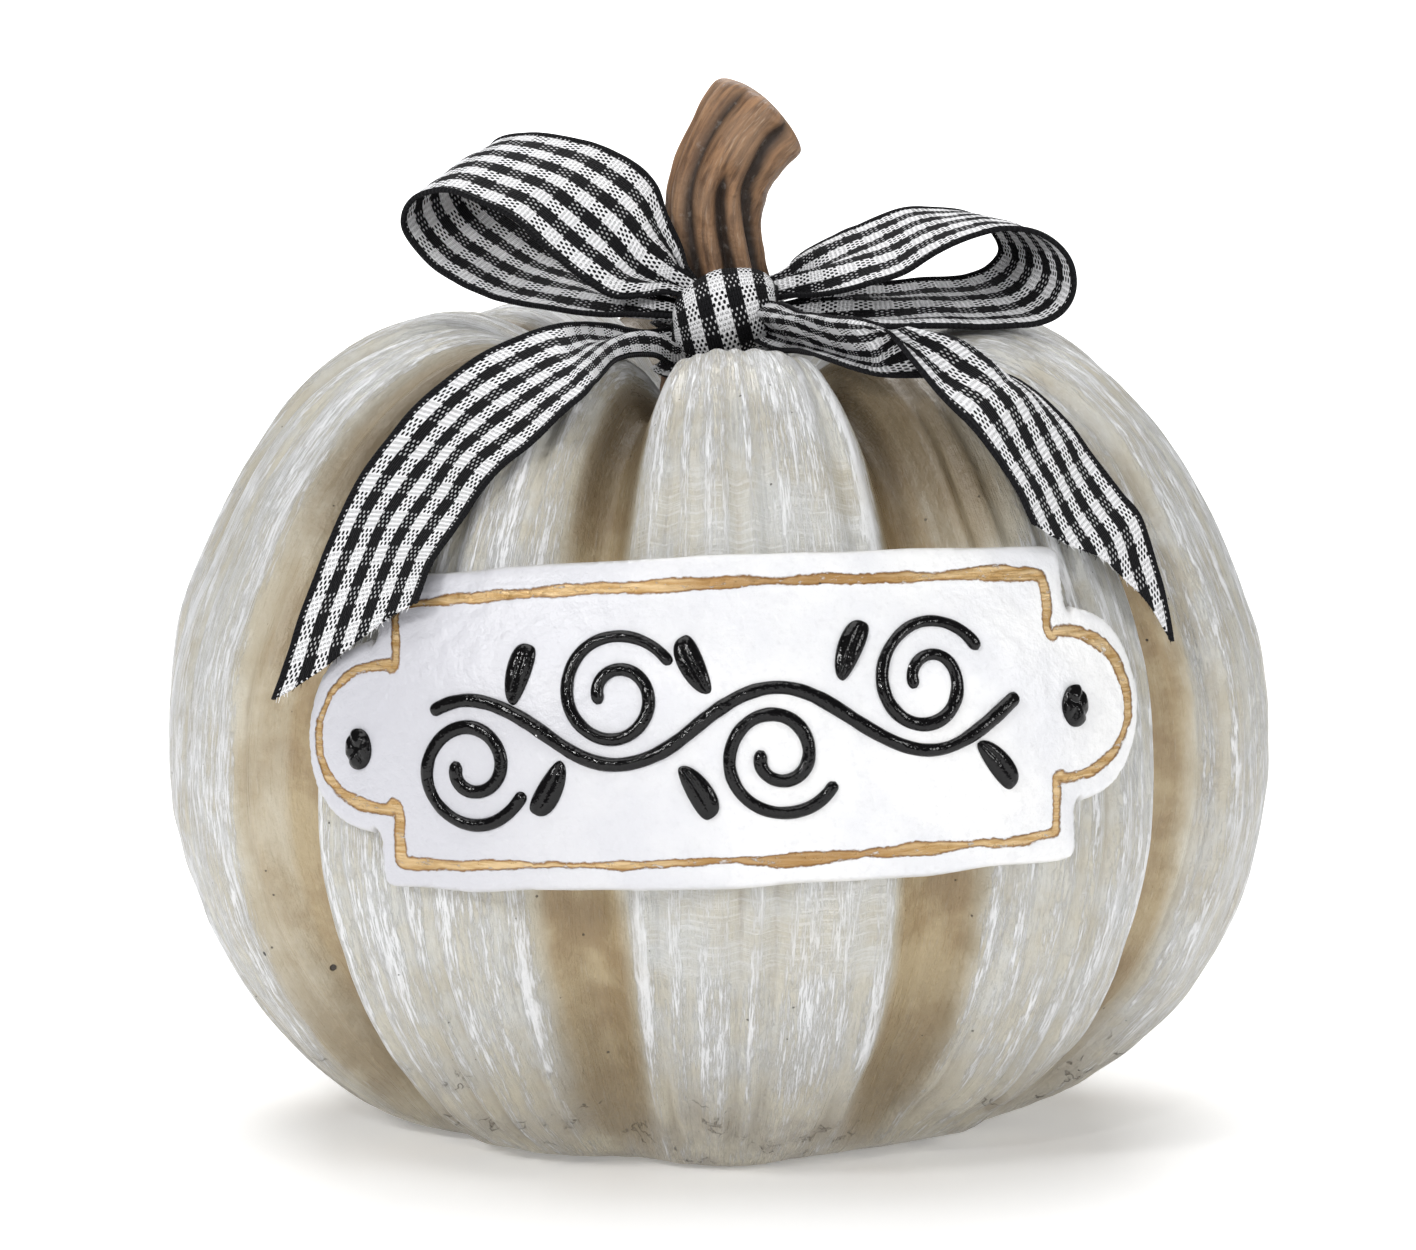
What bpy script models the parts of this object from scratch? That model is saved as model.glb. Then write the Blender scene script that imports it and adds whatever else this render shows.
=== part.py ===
"""Ceramic pumpkin figure: hollow ribbed shell, pegged stem, curved plaque and a tied gingham bow.

Origin at the middle of the flat base, +Z up, the plaque faces -Y. Sizes below are in millimetres.
"""
import math

import bmesh
import bpy
from mathutils import Matrix, Vector

for old in list(bpy.data.objects):
    bpy.data.objects.remove(old, do_unlink=True)

MM = 0.001
GAP = 0.35                  # clearance between neighbouring pieces
BACK_GAP = 0.7              # behind the plaque, whose back follows the grooves

# Pumpkin shell: half-section through a lobe crest, from the crown dimple to the middle of the base
BODY_PROFILE = [(0, 101), (9, 101), (17, 104.5), (27, 112), (38.5, 116), (50, 113.6), (60, 107),
                (68.2, 96.8), (75, 84), (79.8, 71.5), (81.5, 59), (80.8, 46), (77.3, 33), (71, 20.5),
                (62, 9.8), (51.5, 2.6), (42, 0), (22, 0), (0, 0)]
WALL = 4.5
LOBES = 10
GROOVE_ANGLE = -14.6        # degrees, first groove left of the front lobe
FRONT_SPREAD = 3.2          # degrees the groove right of the front lobe is moved outwards
GROOVE_DEPTH = 6.0
BODY_SEGMENTS = 70
BODY_RINGS = 18
SOCKET_RADIUS = 5.9         # hole in the crown for the stem peg
VENT_RADIUS = 4.0           # casting vent in the base, behind the centre
VENT_Y = 22.0

# Stem: (x, z, radius, lean in degrees) of each ring, from the peg to the cut top
STEM_RINGS = [(0, 97, 5.5, 0), (0, 101.3, 5.5, 0), (0, 101.5, 8.6, 0), (0.3, 106, 8.2, 0),
              (0.6, 112, 7.5, 0), (0.6, 119.5, 7.2, 0), (-0.3, 126, 6.9, 0), (-0.6, 131, 6.9, 3),
              (0.2, 136, 7.1, 12), (3.0, 141.6, 7.5, 27), (5.6, 144.9, 7.6, 36), (7.0, 146.4, 7.0, 41)]
STEM_TOP = (1.0, 1.2)       # the cut top's middle, right of and above the last ring
FLUTE_DEPTH = 1.1
STEM_FLUTES = 6
SHOULDER_Z = 102            # the peg below this is plain

# Plaque: a ticket outline wrapped on the front
PLAQUE_HALF_W = 50.0
PLAQUE_HALF_H = 21.9
TAB_REACH = 12.4
TAB_HALF_H = 12.9
PLAQUE_CENTRE = (1.3, 68.4)  # along the girth from the front, height
PLAQUE_TILT = 2.4            # degrees
PLAQUE_DROOP = 0.0007        # ends sink by this times the girth distance squared
PLAQUE_BULGE = 0.0005        # half-height lost away from the middle, times the distance squared
RIM_DROP = 0.8               # rounding of the front edge
PLAQUE_LIFT = 2.4            # front face above the lobe crests
BORDER_INSET_W = 3.4
BORDER_INSET_H = 3.8
BORDER_INSET_TAB = 2.6
BORDER_RADIUS = 0.55
RIVET_RADIUS = 2.7
RIVETS = {"rivet_left": (-52.6, -1.4), "rivet_right": (50.0, 0.0)}
VINE_RADIUS = 0.95
SPIRAL_RADIUS = 8.3
SPIRAL_OFFSET = 4.3          # spiral centre above or below the vine's line
LEAF_HALF = (3.6, 1.5)       # half-length and half-width

# Ribbon, 22.2 mm (7/8 in) wide; each station is (near or left edge, far or right edge)
RIBBON_THICK = 0.8
LOOP_LEFT = [((-7.3, -17, 121), (-4, -11, 124)), ((-10.5, -16.5, 120.5), (-5, -7.5, 127)),
             ((-15, -16, 120.5), (-7, -5, 131.5)), ((-19.5, -14.5, 123), (-8.6, -1.5, 135.5)),
             ((-24, -12, 126.5), (-12, 2, 138.5)), ((-29, -9, 131), (-17.5, 7.5, 140.5)),
             ((-34.5, -6, 133.5), (-23, 11.5, 141.5)), ((-39.5, -3, 134.5), (-27.5, 14.5, 141.5)),
             ((-44, 0, 133), (-32, 17, 140.5)), ((-45.5, 1, 129.5), (-33.5, 18, 137.5)),
             ((-43.5, 0, 126), (-32, 17.5, 134)), ((-39.5, -3, 122.5), (-28, 14.5, 130.5)),
             ((-32.5, -7, 119.5), (-22, 11, 126.5)), ((-24.5, -11, 118.5), (-15, 7.5, 124)),
             ((-16.5, -14.5, 118.2), (-11.2, 1, 122)), ((-11.5, -16.5, 118.2), (-9.8, -7, 120.5)),
             ((-7.6, -17, 118.2), (-7, -11.5, 119.8))]
LOOP_RIGHT = [((10, -17, 121), (9.5, -10, 123)), ((13.5, -16.5, 121), (11.5, -5, 125)),
              ((17.5, -16, 121.5), (14.5, 2, 126.5)), ((22, -15.5, 122.5), (18.5, 5, 128)),
              ((27, -15, 124), (22.5, 6, 129.5)), ((32, -14, 127), (27.5, 7.5, 131)),
              ((37, -13, 129), (32, 8.5, 131)), ((42, -12, 130), (36, 9.5, 130.5)),
              ((47, -11.5, 129), (39, 9, 129)), ((50.5, -11.5, 126), (40.5, 8.5, 127)),
              ((51.5, -12, 122), (41, 7, 125)), ((50, -13, 118.6), (39.5, 6, 123)),
              ((46.5, -14.5, 116.8), (37.5, 5, 122)), ((41, -16, 116.3), (34, 4, 121.5)),
              ((35, -17, 116.3), (29.5, 3.5, 121.5)), ((27.5, -17.5, 116.3), (24.5, 2.5, 121)),
              ((20.5, -17.5, 116.5), (19.5, 0.5, 121)), ((15, -17.5, 117), (15.2, -6, 120.5)),
              ((9.6, -17.5, 117.5), (11.5, -11, 119.5))]
TAIL_LEFT = [((-7.4, -14, 116), (-5.6, -20.3, 112.8)), ((-11, -16.5, 116), (-9, -30, 114.2)),
             ((-16.5, -24, 118), (-14, -43, 114.6)), ((-22, -36.5, 119), (-17.5, -56.5, 111.8)),
             ((-27.5, -38, 117.5), (-21.5, -58, 108.5)), ((-33, -40.5, 115), (-25, -59, 105.2)),
             ((-38, -42, 111.5), (-29, -60, 102)), ((-43.5, -44.5, 106.8), (-32.5, -61.5, 98.2)),
             ((-49, -47, 100), (-35.7, -64.2, 93.7)), ((-52.3, -50.3, 94), (-39, -67.9, 89.3)),
             ((-55.3, -53.4, 87), (-40.7, -70.8, 85.2)), ((-57.8, -56, 80.5), (-42.2, -72.4, 80.6)),
             ((-59.8, -58.4, 74), (-43.6, -73.4, 75.5)), ((-61.7, -60.3, 69), (-44, -74.2, 71))]
TAIL_RIGHT = [((8, -21.5, 120.5), (7.6, -23.5, 114)), ((12, -31, 120), (11.5, -36, 115)),
              ((16, -39, 120), (17, -46, 114.2)), ((20, -46, 120.5), (22.5, -50.5, 113)),
              ((23.5, -51, 119.5), (29, -47, 112.5)), ((26.5, -54, 116.5), (34.5, -43, 112.5)),
              ((30, -56, 112.5), (38.5, -40, 112.3)), ((33, -58, 109), (41.5, -38, 111.4)),
              ((36.5, -59, 105), (45, -39.5, 109.4)), ((40, -60, 100), (49, -41, 105.6)),
              ((43.6, -62, 94.2), (53, -42.7, 100.6)), ((46, -63.2, 88.7), (56.6, -44.4, 96)),
              ((48.2, -64.4, 83.7), (59.6, -46.6, 92.5)), ((49.5, -64, 76.5), (61.9, -47.9, 85)),
              ((51.5, -66, 70), (64, -48.6, 75.5))]
TAIL_LEFT_END = (13.0, 10.2)      # station where each edge of the slanted cut ends
TAIL_RIGHT_END = (10.0, 14.0)
KNOT_CENTRE = (0.6, -16.6, 118.3)
KNOT_RADII = (6.5, 6.0, 5.7)
BAND = (1.2, 8.7, 0.8, 112.4, 118.6)   # x of the axis, inner radius, thickness, bottom, top

COLLECTION = bpy.data.collections.new("ceramic_pumpkin_figure")
CUTTERS = bpy.data.collections.new("cutters")
for col in (COLLECTION, CUTTERS):
    bpy.context.scene.collection.children.link(col)


def material(name, colour, rough, metal=0.0):
    mat = bpy.data.materials.new(name)
    mat.use_nodes = True
    bsdf = mat.node_tree.nodes["Principled BSDF"]
    bsdf.inputs["Base Color"].default_value = (*colour, 1.0)
    bsdf.inputs["Roughness"].default_value = rough
    bsdf.inputs["Metallic"].default_value = metal
    return mat


def lerp(a, b, f):
    return a + (b - a) * f


def smooth(lo, hi, x):
    f = min(max((x - lo) / (hi - lo), 0.0), 1.0)
    return f * f * (3 - 2 * f)


def spline(points, x):
    """Catmull-Rom through points, x counted in stations."""
    last = len(points) - 1
    i = min(max(int(x), 0), last - 1)
    f = x - i
    p0, p1, p2, p3 = (Vector(points[min(max(j, 0), last)]) for j in (i - 1, i, i + 1, i + 2))
    return 0.5 * (2 * p1 + (p2 - p0) * f + (2 * p0 - 5 * p1 + 4 * p2 - p3) * f ** 2
                  + (3 * p1 - p0 - 3 * p2 + p3) * f ** 3)


def body_section(k):
    """Point and outward normal of the crest profile at station k."""
    p = spline(BODY_PROFILE, k)
    d = spline(BODY_PROFILE, min(k + 0.02, 18)) - spline(BODY_PROFILE, max(k - 0.02, 0))
    return p, Vector((-d.y, d.x)).normalized()


def spread(even):
    """Degrees to move a point whose lobes are evenly spaced, so that the front lobe is the widest."""
    turned = (even + 180) % 360 - 180
    return FRONT_SPREAD * math.exp(-((turned - GROOVE_ANGLE - 360 / LOBES) / 15) ** 2)


def groove(psi):
    """1 in a groove, 0 on a lobe crest."""
    even = psi
    for _ in range(8):
        even = psi - spread(even)
    s = abs(math.sin(math.radians(even - GROOVE_ANGLE) * LOBES / 2))
    return (1 - s) ** 1.7


def groove_depth(psi, k):
    return GROOVE_DEPTH * smooth(1.2, 3.5, k) * (1 - smooth(13.2, 15.8, k)) * groove(psi)


def body_point(psi, k):
    p, n = body_section(k)
    depth = groove_depth(psi, k)
    r = max(p.x - n.x * depth, 0.0)
    a = math.radians(psi)
    return Vector((r * math.sin(a), -r * math.cos(a), max(p.y - n.y * depth, 0.0)))


def crest_at(z):
    """Station on the outer side of the profile at height z."""
    lo, hi = 4.0, 15.0
    for _ in range(40):
        mid = (lo + hi) / 2
        lo, hi = (mid, hi) if spline(BODY_PROFILE, mid).y > z else (lo, mid)
    return lo


def on_front(u, v, lift, follow_grooves=False):
    """Point above the lobe crests (or the real surface): u along the plaque, v across it; and the normal."""
    a = math.radians(PLAQUE_TILT)
    girth = PLAQUE_CENTRE[0] + u * math.cos(a) - v * math.sin(a)
    z = PLAQUE_CENTRE[1] + u * math.sin(a) + v * math.cos(a) - PLAQUE_DROOP * girth ** 2
    k = crest_at(z)
    p, n = body_section(k)
    psi = girth / p.x
    if follow_grooves:
        lift -= groove_depth(math.degrees(psi), k)
    r = p.x + n.x * lift
    return (Vector((r * math.sin(psi), -r * math.cos(psi), p.y + n.y * lift)),
            Vector((n.x * math.sin(psi), -n.x * math.cos(psi), n.y)))


def add(name, mesh, mat, smooth_faces=True):
    obj = bpy.data.objects.new(name, mesh)
    mesh.materials.append(mat)
    if smooth_faces:
        mesh.polygons.foreach_set("use_smooth", [True] * len(mesh.polygons))
    COLLECTION.objects.link(obj)
    return obj


def reshaped_ball(name, segments, rings, place, mat):
    """A UV sphere whose vertices are put where place(angle in degrees, ring) says; ring 0 is the top."""
    bm = bmesh.new()
    bmesh.ops.create_uvsphere(bm, u_segments=segments, v_segments=rings, radius=1.0)
    for v in bm.verts:
        ring = round(math.acos(max(-1.0, min(1.0, v.co.z))) / math.pi * rings)
        step = 360 / segments
        angle = round(math.degrees(math.atan2(v.co.x, -v.co.y)) / step) * step
        v.co = place(angle, ring) * MM
    if bm.calc_volume(signed=True) < 0:
        bmesh.ops.reverse_faces(bm, faces=bm.faces[:])
    mesh = bpy.data.meshes.new(name)
    bm.to_mesh(mesh)
    bm.free()
    return add(name, mesh, mat)


def reshaped_grid(name, nx, ny, place, mat):
    bm = bmesh.new()
    bmesh.ops.create_grid(bm, x_segments=nx, y_segments=ny, size=0.5)
    for v in bm.verts:
        v.co = place(v.co.x + 0.5, v.co.y + 0.5) * MM
    mesh = bpy.data.meshes.new(name)
    bm.to_mesh(mesh)
    bm.free()
    return add(name, mesh, mat)


def tube(name, points, radius, mat, cyclic=False):
    curve = bpy.data.curves.new(name, "CURVE")
    curve.dimensions = "3D"
    curve.bevel_depth = radius * MM
    curve.bevel_resolution = 2
    curve.use_fill_caps = not cyclic
    line = curve.splines.new("POLY")
    line.points.add(len(points) - 1)
    for p, co in zip(line.points, points):
        p.co = (*(co * MM), 1.0)
    line.use_cyclic_u = cyclic
    tmp = bpy.data.objects.new(name + "_curve", curve)
    COLLECTION.objects.link(tmp)
    deps = bpy.context.evaluated_depsgraph_get()
    mesh = bpy.data.meshes.new_from_object(tmp.evaluated_get(deps))
    bpy.data.objects.remove(tmp, do_unlink=True)
    bm = bmesh.new()
    bm.from_mesh(mesh)
    bmesh.ops.remove_doubles(bm, verts=bm.verts[:], dist=1e-6)
    bmesh.ops.recalc_face_normals(bm, faces=bm.faces[:])
    bm.to_mesh(mesh)
    bm.free()
    mesh.materials.clear()
    return add(name, mesh, mat)


def cut_hole(obj, x, y, z0, z1, radius):
    bm = bmesh.new()
    bmesh.ops.create_cone(bm, cap_ends=True, segments=24, radius1=radius * MM, radius2=radius * MM,
                          depth=(z1 - z0) * MM, matrix=Matrix.Translation(Vector((x, y, (z0 + z1) / 2)) * MM))
    mesh = bpy.data.meshes.new(obj.name + "_cut")
    bm.to_mesh(mesh)
    bm.free()
    cutter = bpy.data.objects.new(mesh.name, mesh)
    cutter.hide_render = True
    cutter.display_type = "WIRE"
    CUTTERS.objects.link(cutter)
    mod = obj.modifiers.new("hole", "BOOLEAN")
    mod.operation = "DIFFERENCE"
    mod.solver = "EXACT"
    mod.object = cutter


# Pumpkin shell
glaze = material("whitewashed_ceramic", (0.60, 0.58, 0.52), 0.45)
body = reshaped_ball("pumpkin_body", BODY_SEGMENTS, BODY_RINGS,
                     lambda a, k: body_point(a + GROOVE_ANGLE + spread(a + GROOVE_ANGLE), k), glaze)
wall = body.modifiers.new("wall", "SOLIDIFY")
wall.thickness = WALL * MM
wall.offset = -1.0
cut_hole(body, 0, 0, 90, 108, SOCKET_RADIUS)
cut_hole(body, 0, VENT_Y, -3, 9, VENT_RADIUS)

# Stem with its peg
TOP_RING = len(STEM_RINGS)


def stem_point(angle, ring):
    x, z, radius, lean = STEM_RINGS[max(0, min(TOP_RING - ring, TOP_RING - 1))]
    if ring == TOP_RING + 1:
        return Vector((x, 0, z))
    if ring == 0:
        return Vector((x + STEM_TOP[0], 0, z + STEM_TOP[1]))
    flute = 0.0 if z < SHOULDER_Z else FLUTE_DEPTH * (1 + math.cos(math.radians(angle * STEM_FLUTES))) / 2
    r = radius - flute
    a = math.radians(angle)
    p = Matrix.Rotation(math.radians(lean), 3, "Y") @ Vector((r * math.sin(a), -r * math.cos(a), 0))
    return p + Vector((x, 0, z))


reshaped_ball("stem", 24, TOP_RING + 1, stem_point, material("brown_stem", (0.25, 0.14, 0.07), 0.5))

# Plaque


def plaque_half_height(u):
    """Half-height of the ticket outline at u."""
    d = abs(u) - PLAQUE_HALF_W
    if d <= 0:
        return PLAQUE_HALF_H - PLAQUE_BULGE * u * u
    return TAB_HALF_H * math.sqrt(max(1 - (d / TAB_REACH) ** 2, 0.0))


TAB_STEPS = (0.02, 0.3, 0.55, 0.78, 0.93, 0.99)
TAB_U = [PLAQUE_HALF_W + TAB_REACH * f for f in TAB_STEPS]
PLAQUE_U = sorted([-u for u in TAB_U] + TAB_U
                  + [lerp(-PLAQUE_HALF_W, PLAQUE_HALF_W, i / 36) for i in range(37)])
PLAQUE_V = [-1.0, -0.955, -0.5, 0.0, 0.5, 0.955, 1.0]


def plaque_mesh():
    nx, ny = len(PLAQUE_U) - 1, len(PLAQUE_V) - 1
    bm = bmesh.new()
    bmesh.ops.create_grid(bm, x_segments=nx, y_segments=ny, size=0.5)
    front = set(bm.verts)
    bmesh.ops.extrude_face_region(bm, geom=bm.faces[:], use_keep_orig=True)
    for v in bm.verts:
        i, j = round((v.co.x + 0.5) * nx), round((v.co.y + 0.5) * ny)
        u, w = PLAQUE_U[i], PLAQUE_V[j]
        edge = abs(w) == 1.0 or i in (0, nx)
        y = w * plaque_half_height(u)
        if v in front:
            v.co = on_front(u, y, PLAQUE_LIFT - (RIM_DROP if edge else 0.0))[0] * MM
        else:
            v.co = on_front(u, y, BACK_GAP, True)[0] * MM
    bmesh.ops.recalc_face_normals(bm, faces=bm.faces[:])
    mesh = bpy.data.meshes.new("plaque")
    bm.to_mesh(mesh)
    bm.free()
    return mesh


add("plaque", plaque_mesh(), material("white_plaque", (0.80, 0.80, 0.79), 0.4))


def border_outline():
    """Closed ticket line inside the rim, counter-clockwise from the lower right corner."""
    half_w, half_h = PLAQUE_HALF_W - BORDER_INSET_W, PLAQUE_HALF_H - BORDER_INSET_H
    tab_h = TAB_HALF_H - BORDER_INSET_TAB

    def line_v(u):
        return half_h - PLAQUE_BULGE * u * u

    corner = line_v(half_w)
    tab = [(half_w + (TAB_REACH + 0.7) * math.cos(math.radians(a)), tab_h * math.sin(math.radians(a)))
           for a in range(-90, 91, 15)]
    right = [(half_w, -corner), (half_w, -(corner + tab_h) / 2)] + tab + [(half_w, (corner + tab_h) / 2)]
    top = [(u, line_v(u)) for u in (lerp(half_w, -half_w, i / 20) for i in range(20))]
    left = [(-x, -y) for x, y in right]
    bottom = [(-x, -y) for x, y in top]
    return right + top + left + bottom


gold = material("gold_paint", (0.62, 0.36, 0.10), 0.35, 0.6)
lift = PLAQUE_LIFT + GAP + BORDER_RADIUS
tube("plaque_border", [on_front(u, v, lift)[0] for u, v in border_outline()], BORDER_RADIUS, gold, True)

# Raised black ornament: one vine, four spirals, leaves
black = material("black_enamel", (0.006, 0.006, 0.007), 0.15)
VINE_WAVE = 42.0
VINE_SWING = 4.5
ornament_lift = PLAQUE_LIFT + GAP + VINE_RADIUS


def vine_v(u):
    return VINE_SWING * math.sin(2 * math.pi * u / VINE_WAVE + 0.6)


tube("scroll_vine", [on_front(u, vine_v(u), ornament_lift)[0] for u in range(-41, 42, 2)], VINE_RADIUS, black)
SPIRALS = [(-35.2, -1), (-14.7, 1), (6.5, -1), (27.5, 1)]      # centre along the vine, side
for number, (centre, side) in enumerate(SPIRALS, 1):
    path = []
    for i in range(28):
        turn = math.radians(25 + 20 * i)
        r = SPIRAL_RADIUS * (1 - i / 35)
        v = side * (SPIRAL_OFFSET + r * math.sin(turn))
        path.append(on_front(centre + r * math.cos(turn), v, ornament_lift)[0])
    tube(f"scroll_spiral_{number}", path, VINE_RADIUS * 0.9, black)


def leaf_point(centre, heading):
    def place(angle, ring):
        t = ring / 6
        along = LEAF_HALF[0] * math.cos(math.pi * t)
        taper = math.sin(math.pi * t) ** 1.3
        a = math.radians(angle)
        across, up = LEAF_HALF[1] * taper * math.sin(a), 0.55 * taper * math.cos(a)
        u = centre[0] + along * math.cos(heading) - across * math.sin(heading)
        v = centre[1] + along * math.sin(heading) + across * math.cos(heading)
        return on_front(u, v, PLAQUE_LIFT + GAP + 0.6 + up)[0]
    return place


LEAVES = [(-27.5, 7.4, 70), (-4.5, -8.6, -60), (17.2, 8.6, 65), (37.0, -7.0, -50),
          (-24.4, -7.2, -120), (-3.8, 7.8, 115)]
for number, (u, v, heading) in enumerate(LEAVES, 1):
    reshaped_ball(f"scroll_leaf_{number}", 8, 6, leaf_point((u, v), math.radians(heading)), black)

# Rivets
for name, (u, v) in RIVETS.items():
    seat, normal = on_front(u, v, PLAQUE_LIFT + GAP)
    turn = Vector((0, 0, 1)).rotation_difference(normal).to_matrix()

    def rivet_point(angle, ring, seat=seat, turn=turn):
        t = math.pi * ring / 6
        a = math.radians(angle)
        r = RIVET_RADIUS * math.sin(t)
        z = 1.6 * math.cos(t) if ring < 3 else 0.2 if ring == 3 else 0.0
        return seat + turn @ Vector((r * math.sin(a), -r * math.cos(a), z))

    reshaped_ball(name, 16, 6, rivet_point, black)

# Bow
cloth = material("gingham_ribbon", (0.35, 0.35, 0.36), 0.8)


def ribbon(name, stations, ends, nx, ny):
    near = [s[0] for s in stations]
    far = [s[1] for s in stations]

    def place(x, y):
        k = x * lerp(ends[0], ends[1], y)
        return spline(near, k).lerp(spline(far, k), y)

    obj = reshaped_grid(name, nx, ny, place, cloth)
    mod = obj.modifiers.new("cloth", "SOLIDIFY")
    mod.thickness = RIBBON_THICK * MM
    mod.offset = 0.0
    return obj


ribbon("bow_loop_left", LOOP_LEFT, (16, 16), 32, 3)
ribbon("bow_loop_right", LOOP_RIGHT, (18, 18), 36, 3)
ribbon("bow_tail_left", TAIL_LEFT, TAIL_LEFT_END, 20, 3)
ribbon("bow_tail_right", TAIL_RIGHT, TAIL_RIGHT_END, 24, 3)


def knot_point(angle, ring):
    t = math.pi * ring / 10
    a = math.radians(angle)
    pleat = 1 - 0.05 * (1 + math.cos(6 * a)) * math.sin(t)
    r = math.sin(t) ** 0.8 if 0 < ring < 10 else 0.0
    return Vector(KNOT_CENTRE) + Vector((KNOT_RADII[0] * r * pleat * math.sin(a),
                                         -KNOT_RADII[1] * r * pleat * math.cos(a),
                                         KNOT_RADII[2] * math.cos(t)))


reshaped_ball("bow_knot", 18, 10, knot_point, cloth)

# Turn of ribbon round the foot of the stem
axis_x, inner, thick, low, high = BAND
bm = bmesh.new()
ring = [bm.verts.new((r * MM, 0, z * MM)) for r, z in
        ((inner + thick, high), (inner + thick, low), (inner, low), (inner, high))]
for i in range(4):
    bm.edges.new((ring[i], ring[(i + 1) % 4]))
band_mesh = bpy.data.meshes.new("stem_band")
bm.to_mesh(band_mesh)
bm.free()
band = add("stem_band", band_mesh, cloth)
band.location = (axis_x * MM, 0, 0)
screw = band.modifiers.new("turn", "SCREW")
screw.steps = screw.render_steps = 28
screw.use_merge_vertices = True
screw.merge_threshold = 0.0001
screw.use_smooth_shade = True
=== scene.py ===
"""Visual model of the ceramic pumpkin figure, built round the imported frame.

Lengths in the shape functions are millimetres and become metres when a mesh is made.
Angles round the pumpkin are degrees from the front (-Y) towards +X.
"""
import itertools
import random

import bmesh
import bpy
import numpy as np
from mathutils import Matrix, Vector
from mathutils.geometry import delaunay_2d_cdt
from numpy import cos, exp, pi, radians, sin, sqrt


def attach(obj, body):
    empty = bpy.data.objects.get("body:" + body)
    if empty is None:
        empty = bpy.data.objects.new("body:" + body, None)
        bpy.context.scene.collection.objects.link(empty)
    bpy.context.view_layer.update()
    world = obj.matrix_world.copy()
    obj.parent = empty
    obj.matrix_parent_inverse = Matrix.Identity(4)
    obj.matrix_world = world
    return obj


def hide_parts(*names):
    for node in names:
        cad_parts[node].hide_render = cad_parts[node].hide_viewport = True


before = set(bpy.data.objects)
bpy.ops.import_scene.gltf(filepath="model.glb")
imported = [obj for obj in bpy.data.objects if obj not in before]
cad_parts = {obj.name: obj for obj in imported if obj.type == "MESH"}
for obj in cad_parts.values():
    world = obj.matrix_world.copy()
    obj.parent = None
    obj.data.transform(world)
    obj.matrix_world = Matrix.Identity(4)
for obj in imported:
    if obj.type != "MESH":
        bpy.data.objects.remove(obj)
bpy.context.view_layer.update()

MM = 0.001

# ---- dimensions
BODY_PROFILE = [(0, 101), (9, 101), (17, 104.5), (27, 112), (38.5, 116), (50, 113.6), (60, 107),
                (68.2, 96.8), (75, 84), (79.8, 71.5), (81.5, 59), (80.8, 46), (77.3, 33), (71, 20.5),
                (62, 9.8), (51.5, 2.6), (42, 0), (22, 0), (0, 0)]
LOBES = 10
GROOVE_ANGLE = -14.6
LOBE_PITCH = 360 / LOBES
FRONT_SPREAD = 3.2           # degrees the groove right of the front lobe is moved outwards
SOCKET = (6.0, 96.0)         # radius and floor of the hole for the stem
VENT = (22.0, 4.0, 14.0)     # y, radius, depth of the hole in the base

# x, z, radius and lean in degrees
STEM_RINGS = [(0, 99, 7.6, 0), (0, 101.3, 8.6, 0), (0.3, 106, 8.3, 0), (0.6, 112, 7.8, 0),
              (0.6, 119.5, 7.3, 0), (-0.3, 126, 6.9, 0), (-0.6, 131, 6.9, 3), (0.2, 136, 7.1, 12),
              (3, 141.6, 7.5, 27), (5.6, 144.9, 7.6, 36), (7, 146.4, 7.2, 41)]

PLAQUE_HALF_W = 50.0
PLAQUE_HALF_H = 21.9
TAB_REACH = 12.4
TAB_HALF_H = 12.9
PLAQUE_CENTRE = (1.3, 68.4)
PLAQUE_TILT = 2.4
PLAQUE_DROOP = 0.0007
PLAQUE_BULGE = 0.0005
PLAQUE_LIFT = 2.4
RIVETS = {"rivet_dome_left": ("rivet_left", -52.6, -1.4), "rivet_dome_right": ("rivet_right", 50.0, 0.0)}
SPIRALS = [(-35.2, -1), (-14.7, 1), (6.5, -1), (27.5, 1)]
LEAVES = [(-27.5, 7.4, 70), (-4.5, -8.6, -60), (17.2, 8.6, 65), (37.0, -7.0, -50),
          (-24.4, -7.2, -120), (-3.8, 7.8, 115)]

RIBBON_WIDTH = 22.2          # 7/8 in
# stations of the ribbon: x, y, z of its near edge, then of its far edge
LOOP_LEFT = [
    (-2, -17.2, 119.6, -1.5, -14.5, 120.6), (-7.3, -17, 121, -4, -11, 124),
    (-10.5, -16.5, 120.5, -5, -7.5, 127), (-15, -16, 120.5, -7, -5, 131.5),
    (-19.5, -14.5, 123, -8.6, -1.5, 135.5), (-24, -12, 126.5, -12, 2, 138.5),
    (-29, -9, 131, -17.5, 7.5, 140.5), (-34.5, -6, 133.5, -23, 11.5, 141.5),
    (-39.5, -3, 134.5, -27.5, 14.5, 141.5), (-44, 0, 133, -32, 17, 140.5),
    (-45.5, 1, 129.5, -33.5, 18, 137.5), (-43.5, 0, 126, -32, 17.5, 134),
    (-39.5, -3, 122.5, -28, 14.5, 130.5), (-32.5, -7, 119.5, -22, 11, 126.5),
    (-24.5, -11, 118.5, -15, 7.5, 124), (-16.5, -14.5, 118.2, -11.2, 1, 122),
    (-11.5, -16.5, 118.2, -9.8, -7, 120.5), (-7.6, -17, 118.2, -7, -11.5, 119.8),
    (-2.5, -17.2, 118, -2.5, -14, 118.6)]
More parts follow.
